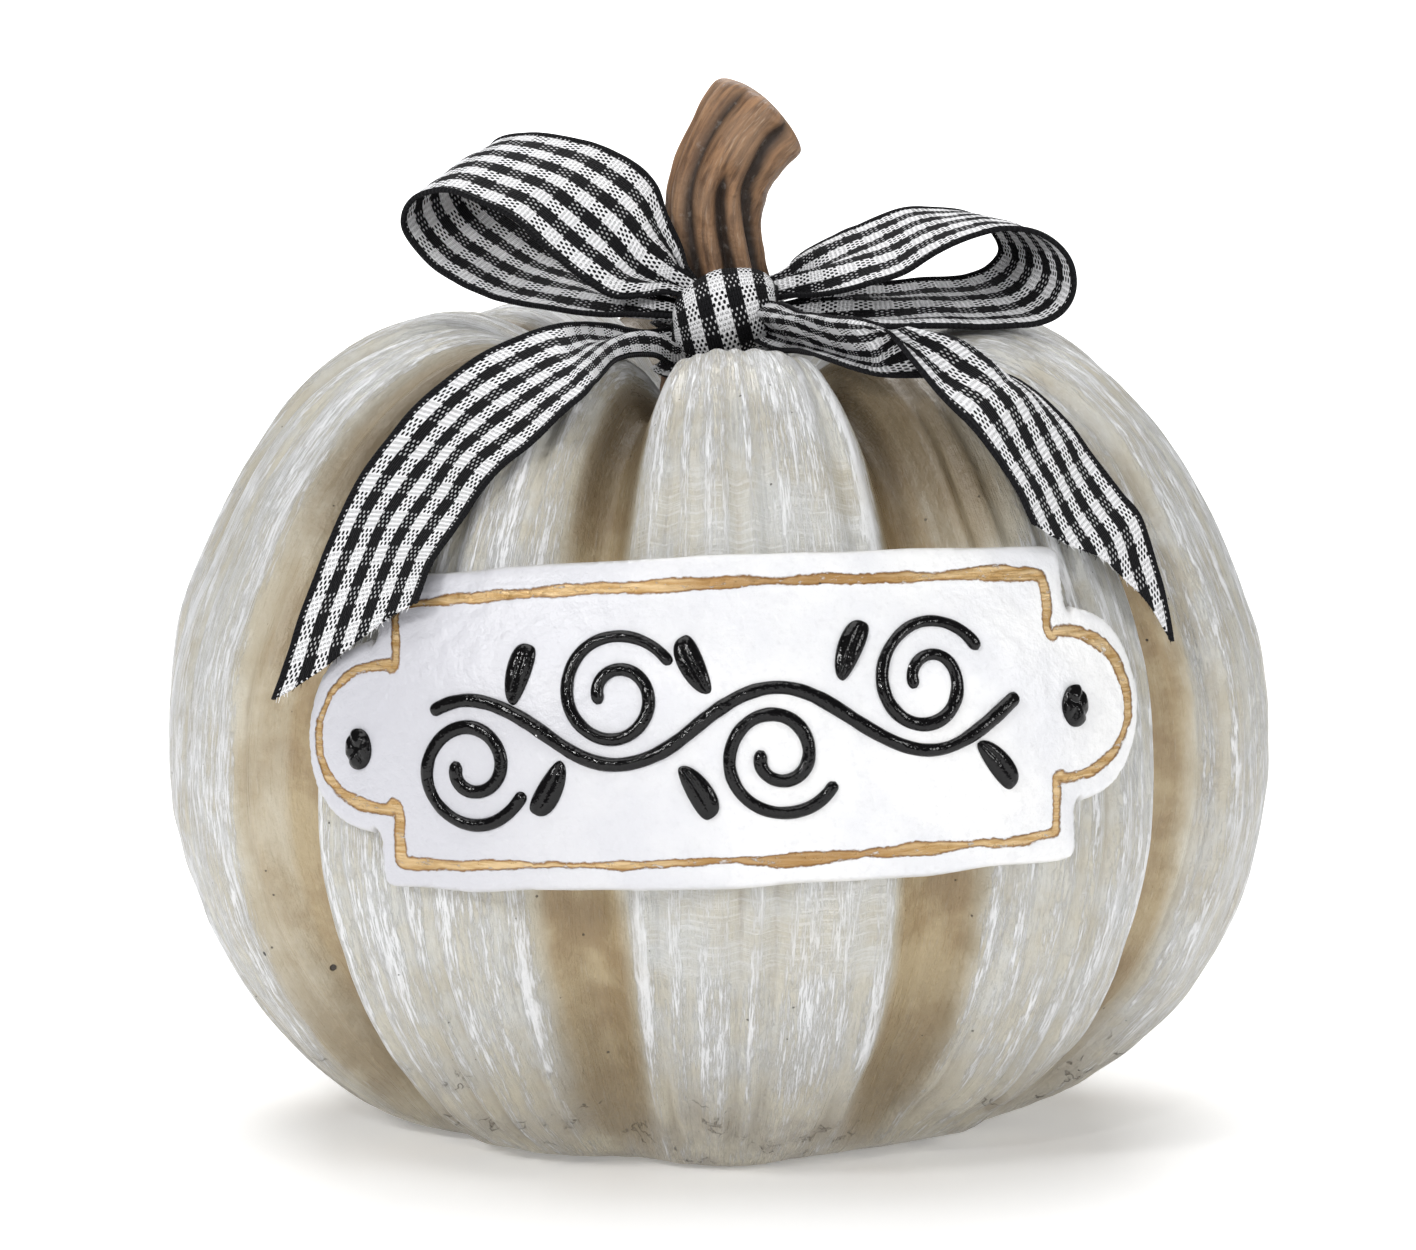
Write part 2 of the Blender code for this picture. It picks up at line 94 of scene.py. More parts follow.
LOOP_RIGHT = [
    (3.5, -17.2, 119.4, 3, -14, 120.2), (10, -17, 121, 9.5, -10, 123), (13.5, -16.5, 121, 11.5, -5, 125),
    (17.5, -16, 121.5, 14.5, 2, 126.5), (22, -15.5, 122.5, 18.5, 5, 128), (27, -15, 124, 22.5, 6, 129.5),
    (32, -14, 127, 27.5, 7.5, 131), (37, -13, 129, 32, 8.5, 131), (42, -12, 130, 36, 9.5, 130.5),
    (47, -11.5, 129, 39, 9, 129), (50.5, -11.5, 126, 40.5, 8.5, 127), (51.5, -12, 122, 41, 7, 125),
    (50, -13, 118.6, 39.5, 6, 123), (46.5, -14.5, 116.8, 37.5, 5, 122), (41, -16, 116.3, 34, 4, 121.5),
    (35, -17, 116.3, 29.5, 3.5, 121.5), (27.5, -17.5, 116.3, 24.5, 2.5, 121),
    (20.5, -17.5, 116.5, 19.5, 0.5, 121), (15, -17.5, 117, 15.2, -6, 120.5),
    (9.6, -17.5, 117.5, 11.5, -11, 119.5), (3.5, -17.2, 117.6, 4, -14, 118.2)]
TAIL_LEFT = [
    (-2.4, -15.5, 117, -1.5, -18, 114.2), (-7.4, -14, 116, -5.6, -20.5, 111.4),
    (-11, -16.5, 116, -9, -30, 114.2), (-16.5, -24, 118, -14, -43, 114.6),
    (-22, -36.5, 119, -17.5, -56.5, 111.8), (-27.5, -38, 117.5, -21.5, -58, 108.5),
    (-33, -40.5, 115, -25, -59, 105.2), (-38, -42, 111.5, -29, -60, 102),
    (-43.5, -44.5, 106.8, -32.5, -61.5, 98.2), (-49, -47, 100, -35.7, -64.2, 93.7),
    (-52.3, -50.3, 94, -39, -67.9, 89.3), (-55.3, -53.4, 87, -40.7, -70.8, 85.2),
    (-57.8, -56, 80.5, -42.2, -72.4, 80.6), (-59.8, -58.4, 74, -43.6, -73.4, 75.5),
    (-61.7, -60.3, 69, -44, -74.2, 71)]
TAIL_RIGHT = [
    (3, -17.5, 118.6, 3, -18, 116.6), (8, -21.5, 120.5, 7.6, -23.5, 114), (12, -31, 120, 11.5, -36, 115),
    (16, -39, 120, 17, -46, 114.2), (20, -46, 120.5, 22.5, -50.5, 113), (23.5, -51, 119.5, 29, -47, 112.5),
    (26.5, -54, 116.5, 34.5, -43, 112.5), (30, -56, 112.5, 38.5, -40, 112.3),
    (33, -58, 109, 41.5, -38, 111.4), (36.5, -59, 105, 45, -39.5, 109.4), (40, -60, 100, 49, -41, 105.6),
    (43.6, -62, 94.2, 53, -42.7, 100.6), (46, -63.2, 88.7, 56.6, -44.4, 96),
    (48.2, -64.4, 83.7, 59.6, -46.6, 92.5), (49.5, -64, 76.5, 61.9, -47.9, 85),
    (51.5, -66, 70, 64, -48.6, 75.5)]
TAIL_LEFT_END = (14.0, 11.2)     # station of the diagonal cut at the near and the far edge
TAIL_RIGHT_END = (11.0, 15.0)
# the right tail's fold: station, then how far its middle is lifted in x, y and z
FOLD = [(0, 0, 0, 0), (3.3, 0, 0, 0), (4, 0, -1, 0.6), (5, 0.2, 0, 3.6), (6, 1.2, 0.6, 3), (7, 1.2, 0, 2.4),
        (8, 1.6, -0.6, 2.4), (9, 1.2, -0.4, 1.8), (10, 0.5, -0.3, 0.9), (11.5, 0, 0, 0)]
KNOT_CENTRE = (1.2, -16.6, 118.0)
KNOT_RADII = (7.7, 7.0, 6.3)
KNOT_GIRTH = 38.5            # cloth that goes once round the knot
KNOT_LEAN = 19               # degrees
BAND_FOOT, BAND_HEIGHT, BAND_RADIUS = 107.8, 9.8, 9.9


# ---- light and camera, in metres
# name, place, size, power and where it points, if not at the middle of the pumpkin
LAMPS = [("top", (-0.15, -0.20, 1.30), 1.0, 7.6),
         ("key", (-0.80, -0.95, 0.75), 0.28, 6.3),
         ("side", (1.10, -0.70, 0.50), 0.4, 4.5),
         ("fill", (0.10, -1.50, 0.30), 0.8, 2.7),
         ("glint", (-0.30, -1.20, 0.65), 0.045, 2.0),
         ("backdrop", (0.0, 2.3, 1.8), 2.5, 110, (0, 2.3, 0))]
WORLD_LIGHT = 0.14
CAMERA_AT = (-0.00124, -1.1883, 0.2380)
CAMERA_DOWN = 8              # degrees below the horizon
SENSOR, LENS = 36.0, 209.1   # mm


# ---- number helpers
def smooth(lo, hi, x):
    f = np.clip((x - lo) / (hi - lo), 0.0, 1.0)
    return f * f * (3 - 2 * f)


def spline(points, x):
    """Catmull-Rom through points at the stations x, an array."""
    p = np.asarray(points, float)
    x = np.clip(np.asarray(x, float), 0, len(p) - 1)
    i = np.minimum(x.astype(int), len(p) - 2)
    f = (x - i)[..., None]
    p0, p1, p2, p3 = (p[np.clip(i + j, 0, len(p) - 1)] for j in (-1, 0, 1, 2))
    return 0.5 * (2 * p1 + (p2 - p0) * f + (2 * p0 - 5 * p1 + 4 * p2 - p3) * f ** 2
                  + (3 * p1 - p0 - 3 * p2 + p3) * f ** 3)


join = np.concatenate


def vectors(*parts):
    """The parts, broadcast together, as the last axis."""
    return np.stack(np.broadcast_arrays(*parts), -1)


def wobble(x, y=0.0, z=0.0, size=1.0, seed=0):
    """Smooth repeatable noise from -1 to 1 with features about that size."""
    q = vectors(x, y, z) / size + 31.7 * seed + 101.3
    cell = np.floor(q).astype(np.int64)
    f = q - cell
    f = f * f * (3 - 2 * f)
    total = np.zeros(f.shape[:-1])
    for corner in itertools.product((0, 1), repeat=3):
        c = np.array(corner)
        weight = np.prod(np.where(c, f, 1 - f), axis=-1)
        key = (cell + c) @ np.array([73856093, 19349663, 83492791])
        key = (key ^ (key >> 13)) * 1274126177
        total += weight * (((key ^ (key >> 16)) & 0xFFFF) / 32768.0 - 1)
    return total


def unit(v):
    return v / np.maximum(np.linalg.norm(v, axis=-1, keepdims=True), 1e-9)


def surface_normals(p, wrap=False):
    """Unit normals of a grid of points, rows by columns."""
    if wrap:
        across = np.roll(p, -1, 1) - np.roll(p, 1, 1)
    else:
        across = np.gradient(p, axis=1)
    return unit(np.cross(across, np.gradient(p, axis=0)))


def arc_length(p):
    """Running length along the rows of points."""
    step = np.linalg.norm(np.diff(p, axis=0), axis=-1)
    return join([np.zeros((1,) + step.shape[1:]), np.cumsum(step, 0)])


def grid_faces(rows, cols, wrap=False, first=0):
    a = np.arange(rows * cols).reshape(rows, cols) + first
    if wrap:
        a = np.hstack([a, a[:, :1]])
    return vectors(a[:-1, :-1], a[:-1, 1:], a[1:, 1:], a[1:, :-1]).reshape(-1, 4)


# ---- object helpers
def make(name, points, faces, material, nodes, attrs=None, weld=False):
    """A smooth mesh piece that replaces those CAD nodes. attrs holds one number or vector per vertex."""
    mesh = bpy.data.meshes.new(name)
    mesh.from_pydata((np.asarray(points) * MM).tolist(), [], [list(map(int, f)) for f in faces])
    for key, values in (attrs or {}).items():
        values = np.asarray(values, float)
        kind = "FLOAT_VECTOR" if values.ndim == 2 else "FLOAT"
        layer = mesh.attributes.new(key, kind, "POINT")
        layer.data.foreach_set("vector" if values.ndim == 2 else "value", values.ravel())
    if weld:
        bm = bmesh.new()
        bm.from_mesh(mesh)
        bmesh.ops.remove_doubles(bm, verts=bm.verts[:], dist=1e-7)
        bmesh.ops.dissolve_degenerate(bm, edges=bm.edges[:], dist=1e-8)
        if bm.calc_volume(signed=True) < 0:
            bmesh.ops.reverse_faces(bm, faces=bm.faces[:])
        bm.to_mesh(mesh)
        bm.free()
    mesh.polygons.foreach_set("use_smooth", [True] * len(mesh.polygons))
    mesh.materials.append(material)
    obj = bpy.data.objects.new(name, mesh)
    bpy.context.scene.collection.objects.link(obj)
    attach(obj, "root")
    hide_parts(*nodes)
    return obj


def make_rings(name, rings, material, nodes, attrs=None):
    """A closed piece from rows of points, each row a ring."""
    faces = grid_faces(*rings.shape[:2], True)
    return make(name, rings.reshape(-1, 3), faces, material, nodes, attrs, weld=True)


class Paint:
    """Wires one node material. Any input may be a socket or a constant."""

    def __init__(self, name, rough=0.5, **fixed):
        self.mat = bpy.data.materials.new(name)
        self.mat.use_nodes = True
        self.tree = self.mat.node_tree
        self.bsdf = self.tree.nodes["Principled BSDF"]
        self.bsdf.inputs["Roughness"].default_value = rough
        for key, value in fixed.items():
            self.bsdf.inputs[key.replace("_", " ")].default_value = value

    def put(self, socket, value):
        if isinstance(value, bpy.types.NodeSocket):
            self.tree.links.new(value, socket)
        elif value is not None:
            if hasattr(socket.default_value, "__len__"):
                size = len(socket.default_value)
                value = (*value, 1.0)[:size] if hasattr(value, "__len__") else (value,) * size
            socket.default_value = value

    def to(self, name, value):
        self.put(self.bsdf.inputs[name], value)

    def node(self, kind, **props):
        n = self.tree.nodes.new("ShaderNode" + kind)
        for key, value in props.items():
            setattr(n, key, value)
        return n

    def attr(self, name, out="Fac"):
        return self.node("Attribute", attribute_name=name).outputs[out]

    def axes(self, vector):
        n = self.node("SeparateXYZ")
        self.put(n.inputs[0], vector)
        return n.outputs[0], n.outputs[1], n.outputs[2]

    def scaled(self, vector, x, y, z):
        n = self.node("VectorMath", operation="MULTIPLY")
        self.put(n.inputs[0], vector)
        n.inputs[1].default_value = (x, y, z)
        return n.outputs[0]

    def place(self, scale=1000.0):
        """Position on the object, in millimetres."""
        return self.scaled(self.node("TexCoord").outputs["Object"], scale, scale, scale)

    def math(self, operation, a, b=None):
        n = self.node("Math", operation=operation)
        for socket, value in zip(n.inputs, (a, b)):
            self.put(socket, value)
        return n.outputs[0]

    def add(self, a, b):
        return self.math("ADD", a, b)

    def times(self, a, b):
        return self.math("MULTIPLY", a, b)

    def less(self, a, b):
        return self.math("SUBTRACT", a, b)

    def over(self, a, b):
        return self.math("DIVIDE", a, b)

    def below(self, a, b):
        return self.math("LESS_THAN", a, b)

    def most(self, a, b):
        return self.math("MAXIMUM", a, b)

    def size(self, a):
        return self.math("ABSOLUTE", a)

    def rest(self, a):
        return self.math("FRACT", a)

    def span(self, x, lo, hi, out_lo=0.0, out_hi=1.0):
        """x smoothly from out_lo at lo to out_hi at hi."""
        n = self.node("MapRange", interpolation_type="SMOOTHSTEP")
        for key, value in (("Value", x), ("From Min", lo), ("From Max", hi), ("To Min", out_lo),
                           ("To Max", out_hi)):
            self.put(n.inputs[key], value)
        return n.outputs[0]

    def mix(self, factor, a, b):
        n = self.node("Mix", data_type="RGBA")
        self.put(n.inputs[0], factor)
        self.put(n.inputs[6], a)
        self.put(n.inputs[7], b)
        return n.outputs[2]

    def noise(self, vector, scale=1.0, detail=4.0, rough=0.55):
        n = self.node("TexNoise")
        for key, value in (("Vector", vector), ("Scale", scale), ("Detail", detail), ("Roughness", rough)):
            self.put(n.inputs[key], value)
        return n.outputs["Fac"]

    def streaks(self, vector, across, along, detail, rough):
        """Noise drawn out along z, at so many features per millimetre across and along."""
        return self.noise(self.scaled(vector, across, across, along), 1, detail, rough)

    def pits(self, vector, cell, radius, share):
        """Round pits of about that radius, one in some of the cells of that size."""
        n = self.node("TexVoronoi")
        self.put(n.inputs["Vector"], vector)
        n.inputs["Scale"].default_value = 1 / cell
        chance, size, _ = self.axes(n.outputs["Color"])
        limit = self.times(self.add(size, 0.35), radius / cell)
        inside = self.span(self.less(n.outputs["Distance"], limit), 0.0, -0.35 * radius / cell)
        return self.times(inside, self.below(chance, share))

    def bumps(self, *layers):
        """Bump layers of (height socket, depth in millimetres)."""
        normal = None
        for height, depth in layers:
            n = self.node("Bump")
            n.inputs["Strength"].default_value = 1.0
            n.inputs["Distance"].default_value = depth * MM
            self.put(n.inputs["Height"], height)
            self.put(n.inputs["Normal"], normal)
            normal = n.outputs["Normal"]
        self.to("Normal", normal)


# ---- pumpkin body
GROOVE_DEPTH, GROOVE_TOP_EXTRA, GROOVE_SIDE_EXTRA, LOBE_ROUNDING = 4.8, 2.2, 1.0, 3.9
# flutes as (degrees from a lobe's middle, depth, half-width in degrees); a pair leaves a raised cord
FLUTES = [(-13.2, 1.7, 1.0), (-10.2, 1.9, 1.1), (-6.2, 1.0, 1.5), (-1.6, 1.6, 1.0), (1.6, 1.5, 1.0),
          (6.4, 1.1, 1.5), (10.2, 1.9, 1.1), (13.0, 1.6, 1.0)]
FRONT_FLUTES = [(-12.9, 1.0, 1.2), (-9.6, 1.7, 1.1), (-6.4, 1.3, 1.1), (-1.5, 1.9, 1.0),
                (1.7, 2.0, 1.1), (6.0, 0.7, 1.4), (10.2, 1.6, 1.3), (13.6, 0.9, 1.0)]


def section(k):
    """Crest profile (r, z) and its outward normal at the stations k."""
    p = spline(BODY_PROFILE, k)
    d = spline(BODY_PROFILE, np.minimum(k + 0.02, 18)) - spline(BODY_PROFILE, np.maximum(k - 0.02, 0))
    return p, unit(vectors(-d[..., 1], d[..., 0]))


def lobe_flutes():
    """For each lobe, its flutes as (degrees from the lobe's middle, depth, half-width in degrees)."""
    rng = random.Random(11)
    lobes = [[(at + rng.uniform(-1.0, 1.0), deep * rng.uniform(0.75, 1.5), half * rng.uniform(0.8, 1.3))
              for at, deep, half in FLUTES] for _ in range(LOBES)]
    lobes[0] = FRONT_FLUTES
    return lobes


def body_relief(psi, k, z):
    """Depth below the crest line, and how much of it is valley and how much is flute, 0 to 1. The valley
    share also holds painted shade beside the left valley and under the right tail, for the colour only.
    """
    turn = (psi - FRONT_SPREAD * exp(-((psi - 24) / 15) ** 2) - GROOVE_ANGLE) / LOBE_PITCH
    valley_number = np.mod(np.round(turn), LOBES)
    lobe_number = np.mod(np.floor(turn), LOBES).astype(int)
    drift = 0.9 * wobble(valley_number * 7.7, z, size=34, seed=3)
    a = (turn - np.round(turn)) * LOBE_PITCH - drift
    reach = smooth(1.2, 3.6, k) * (1 - smooth(13.4, 16.2, k))
    top = 1 - smooth(4.5, 9.5, k)
    width = 4.6 + 0.6 * wobble(valley_number * 5.1, z, size=45, seed=5)
    valley = exp(-(abs(a) / width) ** 3.0)
    aside = smooth(40, 47, abs((psi + 180) % 360 - 180))
    roundness = (1 - abs(a) / (LOBE_PITCH / 2)).clip(0, 1) ** 2
    flank = 1 - 0.5 * exp(-((abs(psi) - 90) / 14) ** 2)
    behind = 1 - 0.6 * top * smooth(95, 125, abs(psi))
    groove = GROOVE_DEPTH + GROOVE_TOP_EXTRA * top + GROOVE_SIDE_EXTRA * aside
    depth = reach * flank * behind * (groove * valley + LOBE_ROUNDING * roundness)
    inside = (turn - np.floor(turn) - 0.5) * LOBE_PITCH
    flute = np.zeros_like(z)
    strength = smooth(2.4, 6.0, k) * (1 - smooth(14.4, 15.6, k))
    for number, flutes in enumerate(lobe_flutes()):
        for i, (offset, deep, half) in enumerate(flutes):
            wander = 0.9 * wobble(z, 9.1 * number + 3.3 * i, size=30, seed=7)
            here = np.maximum(1 - abs(inside - offset - wander) / (1.8 * half), 0) ** 1.15
            here = np.where(lobe_number == number, here, 0.0)
            fade = 0.75 + 0.35 * wobble(z, 4.4 * number + 2.2 * i, size=22, seed=8)
            flute = np.maximum(flute, deep * fade * here)
    depth += strength * flute
    # painted shade: the valley mask spread over one side of the left valley and under the right tail; the
    # depth doesn't use it
    left_valley_shade = smooth(-13, -7, a) * (1 - smooth(0, 4, a)) * exp(-((psi + 54) / 9) ** 2)
    shade = 0.6 * exp(-((psi - 31) / 9) ** 2) * smooth(80, 98, z)
    return depth, reach * np.maximum(valley, np.maximum(0.55 * left_valley_shade, shade)), strength * flute


def body_points():
    cols, rows = 600, 152
    k_of = np.linspace(0.62, 17.0, 4000)
    p, _ = section(k_of)
    run = arc_length(p)
    k = np.interp(np.linspace(0, run[-1], rows), run, k_of)
    psi = np.arange(cols) * 360 / cols - 180
    psi, k = np.meshgrid(psi, k)
    p, n = section(k)
    depth, valley, flute = body_relief(psi, k, p[..., 1])
    a = radians(psi)
    outward = vectors(sin(a), -cos(a))
    x, y = (outward * p[..., :1])[..., 0], (outward * p[..., :1])[..., 1]
    low = 1 - smooth(2, 22, p[..., 1])
    depth += 0.42 * wobble(x, y, p[..., 1], size=15, seed=1) + 0.16 * wobble(x, y, p[..., 1], size=5, seed=2)
    depth += 0.06 * wobble(psi * 1.3, 0, p[..., 1] / 14, size=1.0, seed=4)
    depth += low * (0.5 * wobble(x, y, p[..., 1], size=8, seed=6) + 1.6 * np.clip(outward[..., 0], 0, 1))
    keep = smooth(0.9, 1.6, k) * (1 - smooth(15.6, 16.4, k))
    r = np.maximum(p[..., 0] - n[..., 0] * depth * keep, 0)
    z = np.maximum(p[..., 1] - n[..., 1] * depth * keep, 0)
    girth = arc_length(vectors(p[..., 0], p[..., 1], 0 * z))
    wrap = vectors(70 * outward[..., 0], 70 * outward[..., 1], girth)
    points = vectors(r * outward[..., 0], r * outward[..., 1], z)
    return points, wrap, valley, flute, psi, z


def build_body(material):
    points, wrap, valley, flute, psi, z = body_points()
    ring = points[:1] * [1, 1, 0]
    ring *= SOCKET[0] / np.linalg.norm(ring, axis=-1, keepdims=True)
    floor = ring + [0, 0, SOCKET[1]]
    lip = ring + [0, 0, 100.6]
    inner = join([floor * [0, 0, 1], floor, lip])
    base = points[-1:]
    outer = join([base * [0.5, 0.5, 0], base * 0])
    every = join([inner, points, outer])
    pad = lambda a: join([np.repeat(a[:1], 3, 0), a, np.repeat(a[-1:], 2, 0)])
    cross = smooth(-16, -10, psi) * (1 - smooth(16, 22, psi)) * (1 - smooth(98, 106, z) * (z > 60))
    cross = cross * np.maximum(smooth(82, 90, z), smooth(30, 35, z) * (1 - smooth(45, 50, z)))
    attrs = {"wrap": pad(wrap).reshape(-1, 3), "valley": pad(valley).ravel(), "flute": pad(flute).ravel(),
             "cross": pad(cross).ravel()}
    cut_vent(make_rings("body_painted", every, material, ["pumpkin_body"], attrs))


def cut_vent(body):
    bpy.ops.mesh.primitive_cylinder_add(vertices=48, radius=VENT[1] * MM, depth=2 * VENT[2] * MM,
                                        location=(0, VENT[0] * MM, 0))
    cutter = bpy.context.object
    mod = body.modifiers.new("vent", "BOOLEAN")
    mod.operation, mod.solver, mod.object = "DIFFERENCE", "EXACT", cutter
    deps = bpy.context.evaluated_depsgraph_get()
    mesh = bpy.data.meshes.new_from_object(body.evaluated_get(deps))
    body.modifiers.clear()
    body.data = mesh
    bpy.data.objects.remove(cutter, do_unlink=True)


def ceramic_material():
    m = Paint("whitewashed_ceramic_paint", Specular_IOR_Level=0.5)
    where, wrap = m.place(), m.attr("wrap", "Vector")
    valley, flute, cross = m.attr("valley"), m.attr("flute"), m.attr("cross")
    broad = m.noise(where, 0.035, 3)
    patch = m.noise(where, 0.11, 4, 0.6)
    fine = m.streaks(wrap, 1.7, 0.10, 6, 0.68)
    hair = m.streaks(wrap, 5, 0.35, 5, 0.7)
    cloud = m.streaks(wrap, 0.22, 0.04, 5, 0.62)
    level = m.streaks(wrap, 0.13, 2.4, 6, 0.65)

    base = m.mix(m.span(broad, 0.35, 0.65), (0.44, 0.395, 0.295), (0.56, 0.525, 0.43))
    base = m.mix(m.span(patch, 0.42, 0.66, 0, 0.7), base, (0.595, 0.58, 0.515))
    tan = m.mix(m.span(patch, 0.35, 0.65), (0.285, 0.195, 0.095), (0.43, 0.335, 0.190))
    # tan wash in the valleys; where the valley attribute holds painted shade, beside the left valley and
    # under the right tail, this tan is painted shade
    stain_and_shade = m.span(m.add(valley, m.times(m.add(cloud, -0.5), 0.5)), 0.22, 0.80)
    colour = m.mix(m.times(stain_and_shade, 0.9), base, tan)
    height = m.axes(where)[2]
    # painted shade: the valleys and flanks near the top, under the bow, darkened towards brown-black
    high = m.span(height, 80, 103)
    colour = m.mix(m.times(m.times(high, m.span(valley, 0.05, 0.7)), 0.85), colour, (0.13, 0.095, 0.055))
    # darker towards the bottom, in blotches
    foot = m.times(m.span(height, 38, 6), m.span(m.add(patch, m.times(valley, 0.4)), 0.3, 0.7))
    colour = m.mix(m.times(foot, 0.9), colour, (0.235, 0.18, 0.108))
    seam = m.span(m.add(m.times(flute, 0.6), m.times(m.add(fine, -0.5), 1.1)), 0.62, 1.15)
    colour = m.mix(m.times(seam, 0.6), colour, (0.30, 0.24, 0.155))

    brush = m.span(m.add(m.times(fine, 0.42), m.times(hair, 0.58)), 0.39, 0.61)
    ridge = m.span(valley, 0.45, 0.04)
    cover = m.times(ridge, m.span(cloud, 0.36, 0.62, 0.55, 1))
    cover = m.times(cover, m.span(height, 6, 24, 0.35, 1))
    colour = m.mix(m.times(cover, m.span(patch, 0.35, 0.6, 0.35, 0.9)), colour, (0.56, 0.565, 0.545))
    edge = m.times(m.span(valley, 0, 0.08), m.span(valley, 0.55, 0.2))
    cover = m.add(cover, m.times(edge, m.span(height, 8, 30, 0, 0.45)))
    cord = m.times(m.span(flute, 0, 0.15), m.span(flute, 0.7, 0.3))
    cover = m.add(cover, m.times(cord, m.times(ridge, 0.25)))
    sunk = m.times(m.span(flute, 0.4, 1.2), -0.4)
    white = m.span(m.add(m.add(brush, m.times(cover, 0.8)), sunk), 0.86, 1.62)
    across = m.times(m.span(level, 0.46, 0.60), m.times(cross, m.span(valley, 0.35, 0.1)))
    white = m.most(m.times(white, m.span(cross, 0, 1, 1, 0.7)), m.times(across, 0.38))
    paint = m.mix(hair, (0.68, 0.69, 0.715), (0.88, 0.885, 0.90))
    colour = m.mix(m.times(white, 0.8), colour, paint)

    holes = m.pits(where, 9.5, 0.42, 0.42)
    pores = m.pits(m.scaled(where, 1.13, 1.13, 1.13), 3.6, 0.20, 0.45)
    colour = m.mix(m.most(holes, m.times(pores, 0.75)), colour, (0.05, 0.04, 0.032))
    vein = m.size(m.add(m.noise(where, 0.10, 4, 0.6), -0.5))
    near_foot = m.times(m.span(height, 18, 12), m.span(patch, 0.55, 0.59))
    crack = m.times(m.span(vein, 0.010, 0.003), near_foot)
    colour = m.mix(m.times(crack, 0.45), colour, (0.10, 0.075, 0.05))
    m.to("Base Color", colour)
    m.to("Roughness", m.add(m.span(white, 0, 1, 0.29, 0.40), m.times(m.add(fine, -0.5), 0.22)))
    m.bumps((m.noise(where, 0.45, 5, 0.6), 0.40), (fine, 0.13), (m.add(hair, m.times(white, 0.8)), 0.09),
            (m.times(level, cross), 0.03), (m.most(m.most(holes, pores), crack), -0.4))
    return m.mat


# ---- plaque
CREST_K = np.linspace(4.0, 15.0, 3000)
CREST_Z = section(CREST_K)[0][:, 1]


def on_front(u, v, lift, sink=0.0):
    """Points above the lobe crests, u along the plaque and v across it, and the normals there."""
    a = radians(PLAQUE_TILT)
    girth = PLAQUE_CENTRE[0] + u * cos(a) - v * sin(a)
    z = PLAQUE_CENTRE[1] + u * sin(a) + v * cos(a) - PLAQUE_DROOP * girth ** 2
    k = np.interp(-z, -CREST_Z, CREST_K)
    p, n = section(k)
    psi = girth / p[..., 0]
    if sink:
        lift = lift - sink * body_relief(np.degrees(psi), k, p[..., 1])[0]
    r = p[..., 0] + n[..., 0] * lift
    s, c = sin(psi), cos(psi)
    return (vectors(r * s, -r * c, p[..., 1] + n[..., 1] * lift),
            vectors(n[..., 0] * s, -n[..., 0] * c, n[..., 1]))


def ticket(half_w, half_h, reach, tab_h, rounding, step=0.4):
    """Closed ticket outline in u and v, anticlockwise, with its corners rounded off."""
    t = radians(np.linspace(-90, 90, 61))
    tab = vectors(half_w + reach * cos(t) ** 0.86, tab_h * np.sign(t) * abs(sin(t)) ** 0.94)
    top = np.array([(half_w, tab_h), (half_w, half_h), (-half_w, half_h), (-half_w, tab_h)])
    raw = join([tab, top, -tab, -top])
    raw = join([raw, raw[:1]])
    run = arc_length(raw)
    s = np.arange(0, run[-1], step)
    p = vectors(np.interp(s, run, raw[:, 0]), np.interp(s, run, raw[:, 1]))
    for _ in range(rounding):
        p = (np.roll(p, 1, 0) + 2 * p + np.roll(p, -1, 0)) / 4
    p[:, 1] *= 1 - PLAQUE_BULGE * p[:, 0] ** 2 / half_h * (abs(p[:, 0]) < half_w + 1)
    return p


def distance_to(points, line):
    """Shortest distance from each point to a dense line of points."""
    best = np.empty(len(points))
    for i in range(0, len(points), 4000):
        d = points[i:i + 4000, None] - line[None]
        best[i:i + 4000] = sqrt((d ** 2).sum(-1).min(1))
    return best


def is_inside(points, line):
    x, y = points[:, :1], points[:, 1:]
    x0, y0 = line[:, 0], line[:, 1]
    x1, y1 = np.roll(x0, -1), np.roll(y0, -1)
    crosses = (y0 > y) != (y1 > y)
    at = x0 + (y - y0) / np.where(y1 == y0, 1e-9, y1 - y0) * (x1 - x0)
    return (crosses & (x < at)).sum(1) % 2 == 1


def filled(line, pitch, clear):
    """A triangulated flat sheet inside the line; its first vertices are the line's."""
    u = np.arange(-64, 64, pitch)
    v = np.arange(-25, 25, pitch * 0.87)
    uu, vv = np.meshgrid(u, v)
    uu = uu + 0.5 * pitch * (np.arange(len(v)) % 2)[:, None]
    inner = vectors(uu.ravel(), vv.ravel())
    inner = inner[is_inside(inner, line)]
    inner = inner[distance_to(inner, line) > clear]
    points = join([line, inner])
    loop = [(i, (i + 1) % len(line)) for i in range(len(line))]
    verts, _, faces, *_ = delaunay_2d_cdt([Vector(p) for p in points], loop, [], 1, 1e-7)
    return np.array([tuple(v) for v in verts]), np.array(faces)


